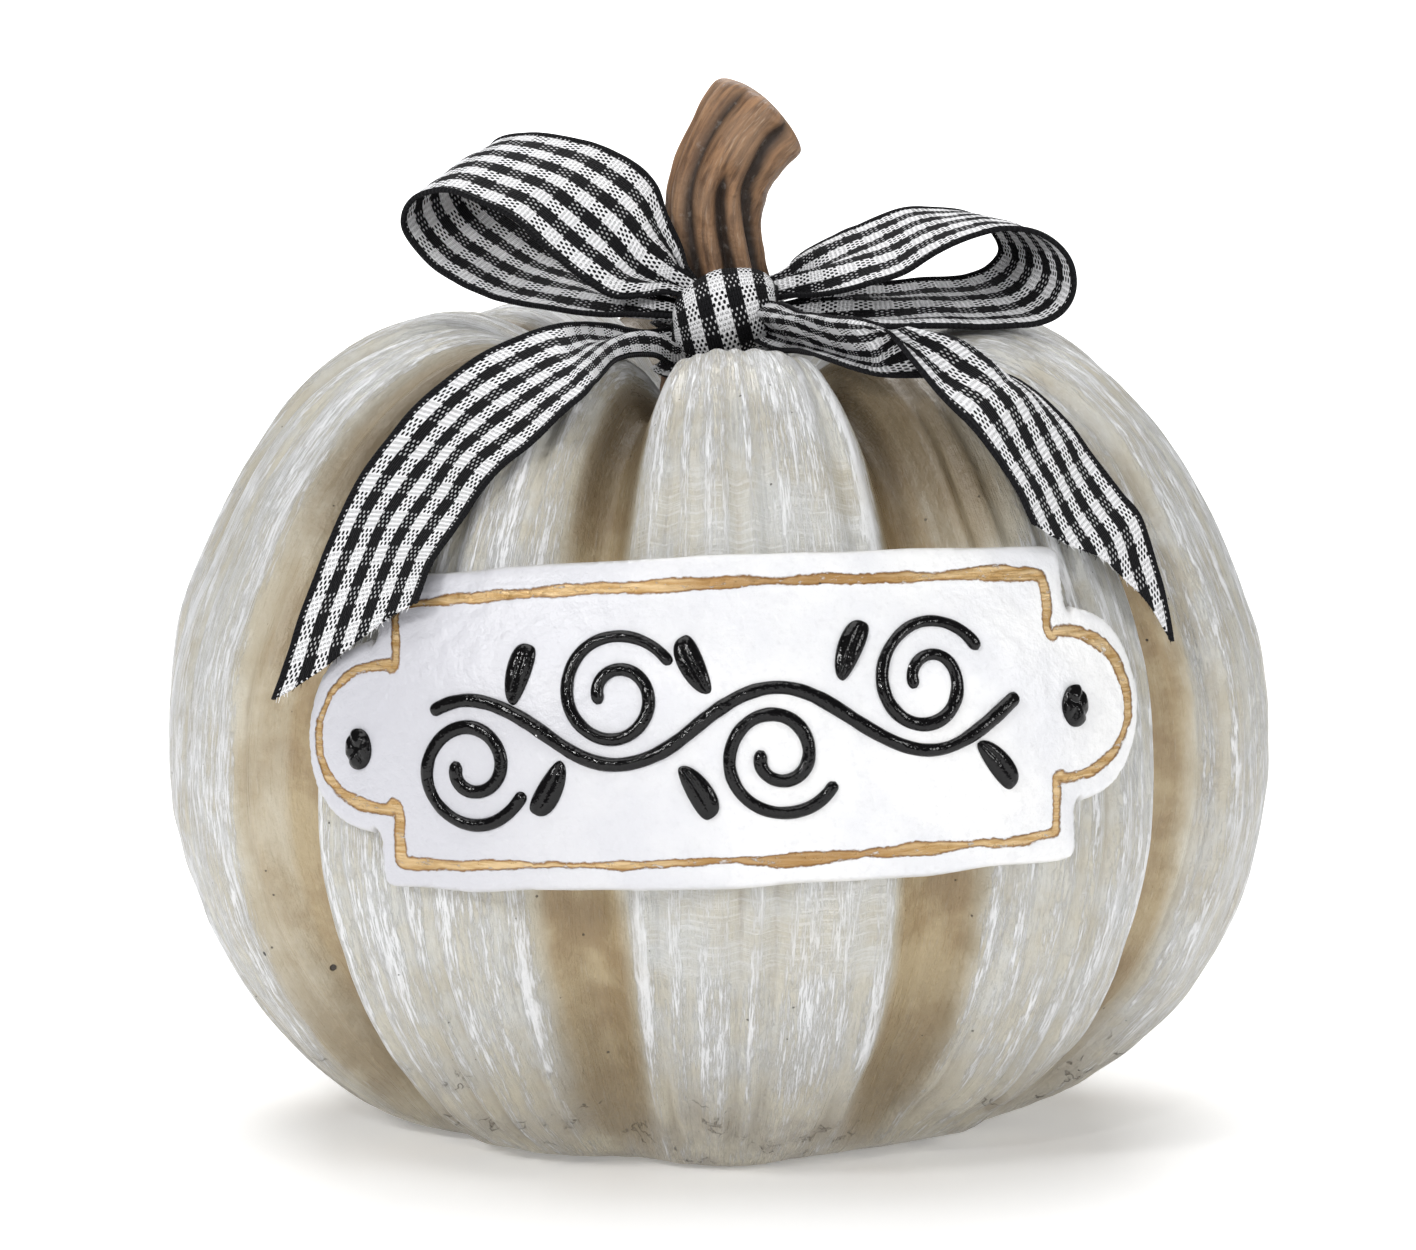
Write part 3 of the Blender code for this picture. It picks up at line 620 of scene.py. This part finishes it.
def build_plaque(material):
    outline = ticket(PLAQUE_HALF_W, PLAQUE_HALF_H, TAB_REACH, TAB_HALF_H, 22)
    outline[:, 1] += 0.28 * wobble(outline[:, 0], outline[:, 1], size=9, seed=21)
    line = ticket(PLAQUE_HALF_W - 3.6, PLAQUE_HALF_H - 3.9, TAB_REACH + 0.9, TAB_HALF_H - 3.3, 5)
    line = line + 0.16 * np.stack([wobble(line[:, 0], line[:, 1], size=11, seed=s) for s in (22, 23)], -1)
    flat, faces = filled(outline, 0.5, 0.3)
    rim, gold = distance_to(flat, outline), distance_to(flat, line)
    gold = np.where(is_inside(flat, line), gold, -gold)
    f = 1 - np.clip(rim / 1.7, 0, 1)
    lift = PLAQUE_LIFT - 1.25 * (1 - sqrt(np.maximum(1 - f ** 2, 0)))
    fu, fv = flat.T
    lift += 0.14 * wobble(fu, fv, size=7, seed=24) + 0.05 * wobble(fu, fv, size=2, seed=25)
    lift += 0.22 * smooth(-1.2, -0.5, gold) * (1 - smooth(0.5, 1.2, gold))
    for edge in (-0.42, 0.42):
        lift -= 0.36 * exp(-((gold - edge) / 0.24) ** 2)
    front, _ = on_front(fu, fv, lift)
    count = len(outline)
    u, v = outline[:, 0], outline[:, 1]
    foot = on_front(u, v, np.full(count, -0.5), 1.0)[0]
    rows = [front[:count]] + [front[:count] + (foot - front[:count]) * t for t in (0.12, 0.35, 0.65, 1.0)]
    back_flat, back_faces = filled(outline, 5.0, 2.0)
    back = on_front(back_flat[:, 0], back_flat[:, 1], np.full(len(back_flat), -0.5), 1.0)[0]
    points = join([front] + rows[1:] + [back])
    start = len(front)
    wall = join([np.arange(count), np.arange(4 * count) + start]).reshape(5, count)
    wall = np.hstack([wall, wall[:, :1]])
    quads = vectors(wall[:-1, :-1], wall[1:, :-1], wall[1:, 1:], wall[:-1, 1:]).reshape(-1, 4)
    back_faces = back_faces[:, ::-1] + start + 4 * count
    spare = len(points) - start
    attrs = {"gold": join([gold, np.full(spare, -9.0)]),
             "rim": join([rim, np.zeros(spare)]),
             "along": join([fu, np.zeros(spare)])}
    make("plaque_painted", points, [*faces, *quads, *back_faces], material,
         ["plaque", "plaque_border"], attrs, weld=True)


def plaque_material():
    m = Paint("white_plaque_paint", Specular_IOR_Level=0.5)
    where, gold, rim, along = m.place(), m.attr("gold"), m.attr("rim"), m.attr("along")
    cloud = m.noise(where, 0.06, 3)
    grain = m.noise(where, 0.9, 5, 0.6)
    stroke = m.streaks(where, 0.16, 1.6, 5, 0.6)
    white = m.mix(m.span(cloud, 0.35, 0.65), (0.72, 0.725, 0.75), (0.83, 0.83, 0.83))
    white = m.mix(m.times(m.span(grain, 0.5, 0.75), 0.35), white, (0.62, 0.62, 0.64))
    # painted shade: the plaque darker towards its left end, which turns away from the light
    white = m.mix(m.span(along, -50, 20, 1, 0), white, (0.56, 0.56, 0.60))
    white = m.mix(m.span(rim, 0.9, 0, 0, 0.35), white, (0.60, 0.575, 0.51))

    offset = m.size(m.add(gold, m.times(m.add(m.noise(where, 0.16, 3), -0.5), 1.2)))
    half = m.add(0.78, m.times(m.add(m.noise(where, 0.09, 2), -0.5), 1.8))
    ragged = m.times(m.add(m.noise(where, 1.3, 4), -0.5), 0.5)
    inside = m.span(m.add(m.less(half, offset), ragged), -0.08, 0.16)
    skip = m.span(m.streaks(where, 0.7, 1.5, 5, 0.65), 0.30, 0.42)
    mask = m.times(inside, m.add(0.35, m.times(skip, 0.65)))
    tone = m.mix(m.span(stroke, 0.35, 0.65), (0.43, 0.255, 0.085), (0.66, 0.48, 0.26))
    tone = m.mix(m.span(m.size(m.add(along, -9)), 20, 9, 0, 0.6), tone, (0.34, 0.17, 0.045))
    tone = m.mix(m.span(m.less(half, offset), 0.42, 0.12, 0, 0.85), tone, (0.20, 0.09, 0.022))
    colour = m.mix(mask, white, tone)
    holes = m.pits(where, 7, 0.34, 0.3)
    colour = m.mix(holes, colour, (0.07, 0.055, 0.05))
    m.to("Base Color", colour)
    m.to("Metallic", m.times(mask, 0.3))
    m.to("Roughness", m.add(m.span(mask, 0, 1, 0.36, 0.30), m.times(m.add(grain, -0.5), 0.2)))
    m.bumps((m.noise(where, 0.3, 4), 0.4), (grain, 0.10), (m.times(stroke, mask), 0.3), (holes, -0.3))
    return m.mat


# ---- raised black ornament
def sweep_on_plaque(name, u, v, radius, material, nodes, seed):
    """A half-round bead along u, v that swells and thins like a brush line and ends rounded."""
    path = vectors(u, v)
    run = arc_length(path)
    total = run[-1]
    s = np.linspace(0, total, int(total / 0.32))
    u, v = np.interp(s, run, u), np.interp(s, run, v)
    u = u + 0.18 * wobble(s, size=7, seed=seed)
    v = v + 0.18 * wobble(s, size=7, seed=seed + 1)
    swell = 0.16 * wobble(s, size=9, seed=seed + 2) + 0.05 * wobble(s, size=1.6, seed=seed + 3)
    width = radius * (1 + swell)
    end = np.minimum(s, total - s)
    width = width * sqrt(np.clip(1 - (1 - np.clip(end / (1.2 * radius), 0, 1)) ** 2, 0.0004, 1))
    mid, normal = on_front(u, v, np.full(len(u), PLAQUE_LIFT - 0.15))
    side = unit(np.cross(unit(np.gradient(mid, axis=0)), normal))
    t = radians(np.arange(0, 360, 20))
    flat = np.where(sin(t) > 0, abs(sin(t)) ** 0.8, -0.35 * abs(sin(t)))
    crown = 0.92 + 0.12 * wobble(s, size=2.3, seed=seed + 4)
    points = (mid[:, None] + side[:, None] * (cos(t)[None, :, None] * width[:, None, None])
              + normal[:, None] * (flat[None, :, None] * (width * crown)[:, None, None]))
    ends = np.repeat(mid[[0, -1], None], len(t), 1)
    points = join([ends[:1], points, ends[1:]])
    make_rings(name, points, material, nodes)


def build_scroll(material):
    u = np.linspace(-41, 41, 400)
    v = 4.5 * sin(2 * pi * u / 42 + 0.6)
    sweep_on_plaque("vine_bead", u, v, 1.02, material, ["scroll_vine"], 31)
    for number, (centre, side) in enumerate(SPIRALS, 1):
        i = np.linspace(0, 27, 300)
        turn = radians(25 + 20 * i)
        r = 8.3 * (1 - i / 35)
        sweep_on_plaque(f"spiral_bead_{number}", centre + r * cos(turn), side * (4.3 + r * sin(turn)),
                        0.94, material, [f"scroll_spiral_{number}"], 40 + 7 * number)
    for number, leaf in enumerate(LEAVES, 1):
        build_leaf(number, leaf, material)


def build_leaf(number, leaf, material):
    """A pointed leaf with a crease down its middle."""
    u0, v0, heading = leaf
    h = radians(heading)
    t = np.linspace(0, 1, 40)[:, None]
    a = radians(np.arange(0, 360, 10))[None]
    half = 1.75 * sin(pi * t ** 0.8) ** 0.9
    along = 4.0 * cos(pi * t) + 0 * a
    bend = 0.5 * sin(pi * t)
    across = half * sin(a) + bend
    up = np.where(cos(a) > 0, 0.62, 0.25) * cos(a) * half / 1.2 + 0 * t
    up = up - 0.32 * exp(-((across - bend) / 0.28) ** 2) * sin(pi * t)
    u = u0 + along * cos(h) - across * sin(h)
    v = v0 + along * sin(h) + across * cos(h)
    points = on_front(u, v, PLAQUE_LIFT + 0.05 + up)[0]
    make_rings(f"leaf_bead_{number}", points, material, [f"scroll_leaf_{number}"])


def build_rivets(material):
    """Low domes pressed with an uneven cross."""
    for seed, (name, (node, u, v)) in enumerate(RIVETS.items()):
        t = np.linspace(0, 1, 26)[:, None]
        a = radians(np.arange(0, 360, 7.5))[None]
        uneven = 1 + 0.05 * wobble(3 * cos(a), 3 * sin(a), size=2, seed=60 + seed)
        r = 2.45 * sin(t * pi / 2) * uneven
        x, y = 0.86 * r * cos(a), 1.12 * r * sin(a)
        turn = radians(35 + 20 * seed)
        c, s = cos(turn), sin(turn)
        p, q = x * c + y * s, y * c - x * s
        pressed = exp(-(p / 0.42) ** 2) + exp(-(q / 0.42) ** 2)
        up = 1.45 * sqrt(np.maximum(1 - (r / 2.6) ** 2, 0)) - 0.36 * np.minimum(pressed, 1.0)
        up = up + 0.16 * wobble(x, y, size=0.9, seed=62 + seed)
        up[-1] = -0.5
        points = on_front(u + x, v + y, PLAQUE_LIFT + up)[0]
        base = on_front(u + 0 * a, v + 0 * a, PLAQUE_LIFT - 0.5 + 0 * a)[0]
        make_rings(name, join([points, base]), material, [node])


def enamel_material():
    m = Paint("black_enamel_paint", Specular_IOR_Level=0.32)
    where = m.place()
    tone = m.noise(where, 0.5, 4)
    colour = m.mix(tone, (0.0008, 0.0008, 0.001), (0.004, 0.0035, 0.004))
    worn = m.span(m.noise(where, 1.9, 5, 0.7), 0.74, 0.80, 0, 0.35)
    colour = m.mix(worn, colour, (0.20, 0.19, 0.18))
    specks = m.pits(where, 3.2, 0.13, 0.3)
    colour = m.mix(specks, colour, (0.75, 0.75, 0.75))
    m.to("Base Color", colour)
    m.to("Roughness", m.span(tone, 0.3, 0.7, 0.05, 0.13))
    m.bumps((m.noise(where, 0.6, 3), 0.25), (m.noise(where, 3.5, 2), 0.02))
    return m.mat


# ---- stem
# angle at mid-height, depth, half-width in degrees, drift towards the top, and the height where it dies out
STEM_FLUTES = [(-70, 1.2, 12, -4, 2), (-30, 1.9, 15, -6, 2), (15, 2.8, 9, -14, 0.86), (60, 2.4, 13, -30, 2),
               (112, 1.5, 14, -12, 2), (160, 1.5, 13, 0, 2), (206, 1.4, 13, 6, 0.8), (252, 1.5, 13, 6, 2)]


def stem_fluting(angle, height):
    """Depth of the flutes at an angle and a height from 0 to 1."""
    depth = np.zeros_like(angle)
    for i, (at, deep, half, drift, stop) in enumerate(STEM_FLUTES):
        wander = 5 * wobble(height * 60, 5.3 * i, size=22, seed=71) + drift * smooth(0.5, 0.95, height)
        a = (angle - at - wander + 180) % 360 - 180
        fade = 0.85 + 0.3 * wobble(height * 60, 3.1 * i, size=16, seed=72)
        fade = fade * (1 - smooth(stop - 0.12, stop, height))
        depth = np.maximum(depth, deep * fade * np.maximum(1 - abs(a) / (1.8 * half), 0) ** 1.3)
    return depth


def build_stem(material):
    cols, rows = 168, 190
    angle, t = np.meshgrid(np.arange(cols) * 360 / cols, np.linspace(0, 1, rows))
    x, z, radius, lean = np.moveaxis(spline(STEM_RINGS, t * (len(STEM_RINGS) - 1)), -1, 0)
    height = (z - 99) / 48
    flute = stem_fluting(angle, height) * (1 - 0.55 * smooth(0.86, 1.0, t)) * smooth(0.0, 0.1, t)
    a, tilt = radians(angle), radians(lean)
    lumps = 0.45 * wobble(angle / 9, z, size=6, seed=73)
    r = radius + 0.35 - flute + lumps + 0.15 * wobble(angle / 9, z, size=2, seed=74)
    tip = sqrt(np.clip(1 - ((t - 0.90) / 0.10).clip(0, 1) ** 2.6, 0, 1))
    r = r + 0.8 * smooth(0.74, 0.92, t) * wobble(3 * sin(a), 3 * cos(a), z, size=3.4, seed=75)
    r = r * (0.93 * tip + 0.07 * (t < 1))
    rise = 1.2 * (1 - tip) + 1.9 * smooth(0.72, 1.0, t) * cos(radians(angle + 15)) * tip
    px, py = r * sin(a), -r * cos(a)
    points = vectors(x + px * cos(tilt) + rise * sin(tilt), py,
                       z - px * sin(tilt) + rise * cos(tilt))
    wrap = vectors(7 * sin(a), -7 * cos(a), arc_length(np.stack([x, z], -1)))
    low = np.repeat(points[:1].mean(1, keepdims=True), cols, 1)
    high = np.repeat(points[-1:].mean(1, keepdims=True), cols, 1)
    pad = lambda v: join([v[:1], v, v[-1:]])
    attrs = {"wrap": pad(wrap).reshape(-1, 3), "flute": pad(flute).ravel()}
    make_rings("stem_carved", join([low, points, high]), material, ["stem"], attrs)


def stem_material():
    m = Paint("brown_stem_paint", Specular_IOR_Level=0.45)
    where, wrap, flute = m.place(), m.attr("wrap", "Vector"), m.attr("flute")
    grain = m.streaks(wrap, 1.3, 0.16, 6, 0.62)
    hair = m.streaks(wrap, 4.5, 0.5, 5, 0.6)
    cloud = m.noise(where, 0.12, 3)
    colour = m.mix(m.span(grain, 0.32, 0.68), (0.115, 0.058, 0.029), (0.375, 0.205, 0.102))
    colour = m.mix(m.span(cloud, 0.4, 0.7, 0, 0.4), colour, (0.34, 0.22, 0.135))
    # painted shade: the flutes darkened to near black
    deep = m.span(m.add(flute, m.times(m.add(grain, -0.5), 1.2)), 0.45, 1.35)
    # darker towards the bottom of the stem
    colour = m.mix(m.span(m.axes(where)[2], 132, 110, 0, 0.6), colour, (0.085, 0.045, 0.024))
    colour = m.mix(m.times(deep, 0.95), colour, (0.022, 0.014, 0.010))
    ridge = m.times(m.span(flute, 0.3, 0), m.span(hair, 0.5, 0.72))
    colour = m.mix(m.times(ridge, 0.5), colour, (0.55, 0.42, 0.30))
    dust = m.span(m.add(m.noise(where, 0.55, 5, 0.65), m.times(deep, 0.1)), 0.66, 0.76, 0, 0.18)
    colour = m.mix(dust, colour, (0.42, 0.40, 0.37))
    holes = m.most(m.pits(where, 5, 0.3, 0.4), m.times(m.pits(where, 1.9, 0.1, 0.4), 0.7))
    colour = m.mix(holes, colour, (0.02, 0.013, 0.01))
    m.to("Base Color", colour)
    m.to("Roughness", m.span(grain, 0.3, 0.7, 0.42, 0.6))
    m.bumps((m.noise(where, 0.7, 5), 0.4), (grain, 0.35), (hair, 0.12), (holes, -0.35))
    return m.mat


# ---- ribbon
def cross_section(width):
    """Distances across the ribbon and its half-thickness there: thin cloth with a corded edge."""
    bead = 0.42
    edge = bead * (1 - cos(radians((0, 25, 50, 75, 105, 130, 155))))
    inner = np.linspace(2 * bead, width - 2 * bead, 42)
    x = join([edge, inner, width - edge[::-1]])
    from_edge = np.minimum(x, width - x)
    cord = sqrt(np.maximum(bead ** 2 - (from_edge - bead) ** 2, 0))
    return x, np.where(from_edge < 2 * bead, np.maximum(cord, np.where(from_edge > bead, 0.16, 0)), 0.16)


def ribbon_surface(stations, ends, rows, pleats, curl, seed, crest=()):
    """Middle surface of a ribbon, rows by columns, and the distance along it; crest lifts its middle."""
    near, far = np.hsplit(np.array(stations, float), 2)
    x, half = cross_section(RIBBON_WIDTH)
    f = x / RIBBON_WIDTH
    t = np.linspace(0, 1, rows)
    k = t[:, None] * (ends[0] + (ends[1] - ends[0]) * f)[None]
    p = spline(near, k) * (1 - f)[None, :, None] + spline(far, k) * f[None, :, None]
    dense = np.linspace(0, len(stations) - 1, 600)
    centre = (spline(near, dense) + spline(far, dense)) / 2
    along = np.interp(k, dense, arc_length(centre))
    span = np.interp(k, dense, np.linalg.norm(spline(near, dense) - spline(far, dense), axis=-1))
    n = surface_normals(p)
    slack = sqrt(np.maximum((RIBBON_WIDTH / span) ** 2 - 1, 0))
    height = np.minimum(0.42 * span / (pi * pleats) * slack, 2.2)
    phase = 0.9 * wobble(along, size=14, seed=seed)
    wave = height * sin(2 * pi * pleats * f[None] + phase) * sin(pi * f)[None] ** 0.35
    wave += curl * (1 - (2 * f - 1) ** 2)[None]
    wave += (0.3 * wobble(along, 8 * f[None], size=7, seed=seed + 1)
             + 0.1 * wobble(along, 8 * f[None], size=2.5, seed=seed + 2))
    p = p + n * wave[..., None]
    if crest:
        at = np.array(crest)
        lift = np.stack([np.interp(k, at[:, 0], at[:, i]) for i in (1, 2, 3)], -1)
        p = p + lift * (sin(pi * f ** 0.85)[None, :, None])
    return p, along, x, half


def cloth_shell(p, along, x, half, wrap=False, skew=0.0):
    """Gives the middle surface its thickness. Returns points, faces and the cloth coordinates."""
    along = along + skew * (x / RIBBON_WIDTH)[None]
    rows, cols = p.shape[:2]
    n = surface_normals(p)
    top, bottom = p + n * half[None, :, None], p - n * half[None, :, None]
    there_and_back = lambda a, b: join([a, b[:, ::-1][:, 1:-1]], 1)
    ring = there_and_back(top, bottom)
    cloth = vectors(there_and_back(x[None], x[None]), there_and_back(along, along), 0.0)
    size = ring.shape[1]
    faces = grid_faces(rows, size, True)
    if wrap:
        last = grid_faces(2, size, True)
        faces = join([faces, np.where(last >= size, last - size, last + (rows - 1) * size)])
        caps = []
    else:
        caps = [(i, i + 1, size - i - 1, (size - i) % size) for i in range(1, cols - 2)]
        caps = [(0, 1, size - 1)] + caps + [(cols - 2, cols - 1, cols)]
        end = [tuple(j + (rows - 1) * size for j in c) for c in caps]
        caps = [c[::-1] for c in caps] + end
    return ring.reshape(-1, 3), [*faces.tolist(), *caps], cloth.reshape(-1, 3)


def frayed(p, along, x, points, faces, cloth, seed):
    """Adds short loose warp threads along the cut end."""
    rng = random.Random(seed)
    points, cloth = [points], [cloth]
    count = len(points[0])
    for at in np.arange(0.5, RIBBON_WIDTH - 0.4, 0.46):
        i = int(np.argmin(abs(x - at)))
        root, back = p[-1, i], p[-4, i]
        way = unit(root - back)
        side = unit(p[-1, min(i + 1, len(x) - 1)] - p[-1, i - 1])
        up = np.cross(side, way)
        length = rng.uniform(0.25, 1.15)
        drift, rise = rng.uniform(-0.5, 0.5), rng.uniform(-0.3, 0.5)
        for j in range(4):
            t = j / 3
            mid = root + way * (length * t - 0.2) + (side * drift + up * rise) * t * t * length
            r = 0.085 * (1 - 0.5 * t)
            points.append(np.array([mid + side * r, mid + up * r, mid - side * r, mid - up * r]))
            cloth.append(np.array([(at, along[-1, i] - 0.05, 0.0)] * 4))
        faces = faces + (grid_faces(4, 4, True, count)).tolist()
        faces += [[count + j for j in (3, 2, 1, 0)], [count + j for j in (12, 13, 14, 15)]]
        count += 16
    return join(points), faces, join(cloth)


def build_ribbon(name, node, stations, ends, material, rows, pleats, curl, seed,
                 fray=False, crest=(), skew=0.0):
    p, along, x, half = ribbon_surface(stations, ends, rows, pleats, curl, seed, crest)
    points, faces, cloth = cloth_shell(p, along, x, half, skew=skew)
    if fray:
        points, faces, cloth = frayed(p, along, x, points, faces, cloth, seed)
    obj = make(name, points, faces, material, [node], {"cloth": cloth})


def build_turn(name, node, p, a, girth, material):
    """One closed turn of ribbon, with a the angle round it."""
    along = np.broadcast_to(a / (2 * pi) * girth, p.shape[:2])
    points, faces, cloth = cloth_shell(p, along, *cross_section(RIBBON_WIDTH), wrap=True)
    obj = make(name, points, faces, material, [node], {"cloth": cloth})


def build_knot(material):
    """A turn of ribbon pulled tight over the middle of the bow."""
    x, _ = cross_section(RIBBON_WIDTH)
    rows = 150
    a = np.linspace(0, 2 * pi, rows, endpoint=False)[:, None] + pi
    s = (2 * x / RIBBON_WIDTH - 1)[None]
    side = s * radians(86)
    swell = cos(side) ** 0.7
    crease = (0.02 * cos(9.0 * s + 0.5 * sin(a))
              + 0.03 * wobble(3 * s, 2 * sin(a), 2 * cos(a), size=1.4, seed=81))
    r = swell * (1 + crease)
    across = KNOT_RADII[0] * sin(side) + 0.5 * cos(a)
    up = KNOT_RADII[2] * r * cos(a)
    lean = radians(KNOT_LEAN)
    p = vectors(
        KNOT_CENTRE[0] + across * cos(lean) - up * sin(lean),
        KNOT_CENTRE[1] - KNOT_RADII[1] * r * sin(a),
        KNOT_CENTRE[2] + across * sin(lean) + up * cos(lean))
    build_turn("ribbon_knot", "bow_knot", p, a, KNOT_GIRTH, material)


def build_band(material):
    """The turn of ribbon round the foot of the stem, gathered into folds."""
    x, _ = cross_section(RIBBON_WIDTH)
    rows = 200
    a = np.linspace(0, 2 * pi, rows, endpoint=False)[:, None]
    f = (x / RIBBON_WIDTH)[None]
    fold = 2 * pi * 3 * f + 0.5 * wobble(cos(a) * 5, sin(a) * 5, size=3, seed=91)
    r = BAND_RADIUS + 0.95 * sin(fold)
    z = BAND_FOOT + BAND_HEIGHT * (f + 0.05 * cos(fold))
    z = z + 0.4 * wobble(cos(a) * 9, sin(a) * 9, size=5, seed=92)
    p = vectors(1.2 + r * sin(a), -r * cos(a), z)
    build_turn("ribbon_band", "stem_band", p, a, 2 * pi * BAND_RADIUS, material)


def build_bow(material):
    build_ribbon("ribbon_loop_left", "bow_loop_left", LOOP_LEFT, (18, 18), material, 240, 2.0, 0.5,
                 101)
    build_ribbon("ribbon_loop_right", "bow_loop_right", LOOP_RIGHT, (20, 20), material, 260, 2.0, -0.4,
                 111)
    build_ribbon("ribbon_tail_left", "bow_tail_left", TAIL_LEFT, TAIL_LEFT_END, material, 200, 1.0, 0.3,
                 121, True, skew=8.5)
    build_ribbon("ribbon_tail_right", "bow_tail_right", TAIL_RIGHT, TAIL_RIGHT_END, material, 220, 1.0, 0.2,
                 131, True, FOLD)
    build_knot(material)
    build_band(material)


def gingham_material():
    """Black and white check, woven thread by thread: cloth x runs across the ribbon and y along it, in mm."""
    m = Paint("gingham_weave", Specular_IOR_Level=0.06, Sheen_Weight=0.03, Sheen_Roughness=0.5)
    selvedge, stripe, check = 1.3, 2.178, 2.92
    warp, weft = stripe / 6, check / 4
    x, y, _ = m.axes(m.attr("cloth", "Vector"))
    loose = m.noise(m.attr("cloth", "Vector"), 0.8, 3)
    yy = m.add(y, m.times(m.add(loose, -0.5), 0.28))
    inner = m.add(x, -selvedge)
    column, row = m.over(inner, warp), m.over(yy, weft)
    even = m.math("MODULO", m.add(m.math("FLOOR", column), m.math("FLOOR", row)), 2)
    weft_over = m.below(m.size(even), 0.5)
    warp_black = m.math("GREATER_THAN", m.rest(m.over(inner, 2 * stripe)), 0.5)
    weft_black = m.math("GREATER_THAN", m.rest(m.over(yy, 2 * check)), 0.5)
    cx = m.add(m.rest(column), -0.5)
    cy = m.add(m.rest(row), -0.5)
    ex = m.over(cx, m.span(weft_black, 0, 1, 0.47, 0.52))
    ey = m.over(cy, m.span(weft_black, 0, 1, 0.31, 0.42))
    oval = m.add(m.times(ex, ex), m.times(ey, ey))
    float_mask = m.times(m.span(oval, 1.15, 0.85), weft_over)
    black = m.add(m.times(weft_black, float_mask), m.times(warp_black, m.less(1, float_mask)))

    from_edge = m.math("MINIMUM", x, m.less(RIBBON_WIDTH, x))
    on_edge = m.below(from_edge, selvedge)
    twist = m.rest(m.add(m.over(y, 0.62), m.times(from_edge, 0.9)))
    strand = m.span(m.size(m.add(twist, -0.5)), 0.42, 0.1)
    fleck = m.times(m.below(m.size(m.add(from_edge, -0.98)), 0.13),
                    m.times(m.below(m.rest(row), 0.34), m.less(1, weft_black)))
    edge_black = m.less(1, m.times(fleck, 0.75))
    black = m.mix(on_edge, black, edge_black)

    fibre = m.noise(m.place(), 7, 3, 0.6)
    dirt = m.noise(m.place(), 0.25, 3)
    white = m.mix(fibre, (0.88, 0.88, 0.90), (0.98, 0.98, 0.985))
    white = m.mix(m.times(dirt, 0.12), white, (0.72, 0.72, 0.76))
    # painted shade in the gaps between the threads
    gap = m.most(m.span(m.size(cx), 0.36, 0.5), m.span(m.size(cy), 0.40, 0.5))
    white = m.mix(m.times(gap, 0.10), white, (0.40, 0.40, 0.44))
    sheen = m.add(m.times(fibre, 0.9), m.times(m.span(oval, 0.6, 0.1), 0.25))
    ink = m.mix(m.times(sheen, 0.5), (0.0015, 0.0015, 0.002), (0.036, 0.036, 0.04))
    m.to("Base Color", m.mix(black, white, ink))
    m.to("Roughness", m.span(fibre, 0.3, 0.7, 0.72, 0.92))
    over = m.times(m.span(oval, 1.2, 0.1), m.add(m.times(weft_over, 1), 0.35))
    relief = m.mix(on_edge, over, strand)
    m.bumps((relief, 0.16), (m.span(m.size(cx), 0.5, 0.1), 0.07), (fibre, 0.03))
    return m.mat


# ---- stage
def area_light(name, where, size, power, aim=(0, 0, 0.06)):
    lamp = bpy.data.lights.new(name, "AREA")
    lamp.size, lamp.energy = size, power
    obj = bpy.data.objects.new(name, lamp)
    obj.location = where
    obj.rotation_euler = (Vector(aim) - Vector(where)).to_track_quat("-Z", "Y").to_euler()
    bpy.context.scene.collection.objects.link(obj)


def build_stage():
    mesh = bpy.data.meshes.new("floor")
    corners = [(-4, -4), (4, -4), (4, 4), (-4, 4)]
    mesh.from_pydata([(x, y, -0.0003) for x, y in corners], [], [(0, 1, 2, 3)])
    m = Paint("floor_paint", 0.7, Emission_Color=(1, 1, 1, 1), Emission_Strength=0.22)
    m.to("Base Color", m.mix(m.noise(m.place(1.0), 2.0, 2), (0.93, 0.93, 0.93), (0.95, 0.95, 0.95)))
    mesh.materials.append(m.mat)
    floor = bpy.data.objects.new("floor", mesh)
    bpy.context.scene.collection.objects.link(floor)
    world = bpy.data.worlds.new("studio")
    world.use_nodes = True
    sky = world.node_tree.nodes["Background"]
    sky.inputs[0].default_value = (1.0, 1.0, 1.0, 1.0)
    sky.inputs[1].default_value = WORLD_LIGHT
    bpy.context.scene.world = world
    bpy.context.scene.view_settings.view_transform = "Standard"
    for lamp in LAMPS:
        area_light(*lamp)


def build_camera():
    lens = bpy.data.cameras.new("camera")
    lens.sensor_width, lens.lens = SENSOR, LENS
    cam = bpy.data.objects.new("camera", lens)
    cam.location = CAMERA_AT
    cam.rotation_euler = (radians(90 - CAMERA_DOWN), 0, 0)
    bpy.context.scene.collection.objects.link(cam)
    bpy.context.scene.camera = cam


build_camera()
build_stage()
build_body(ceramic_material())
build_plaque(plaque_material())
enamel = enamel_material()
build_scroll(enamel)
build_rivets(enamel)
build_stem(stem_material())
build_bow(gingham_material())

bpy.context.view_layer.update()
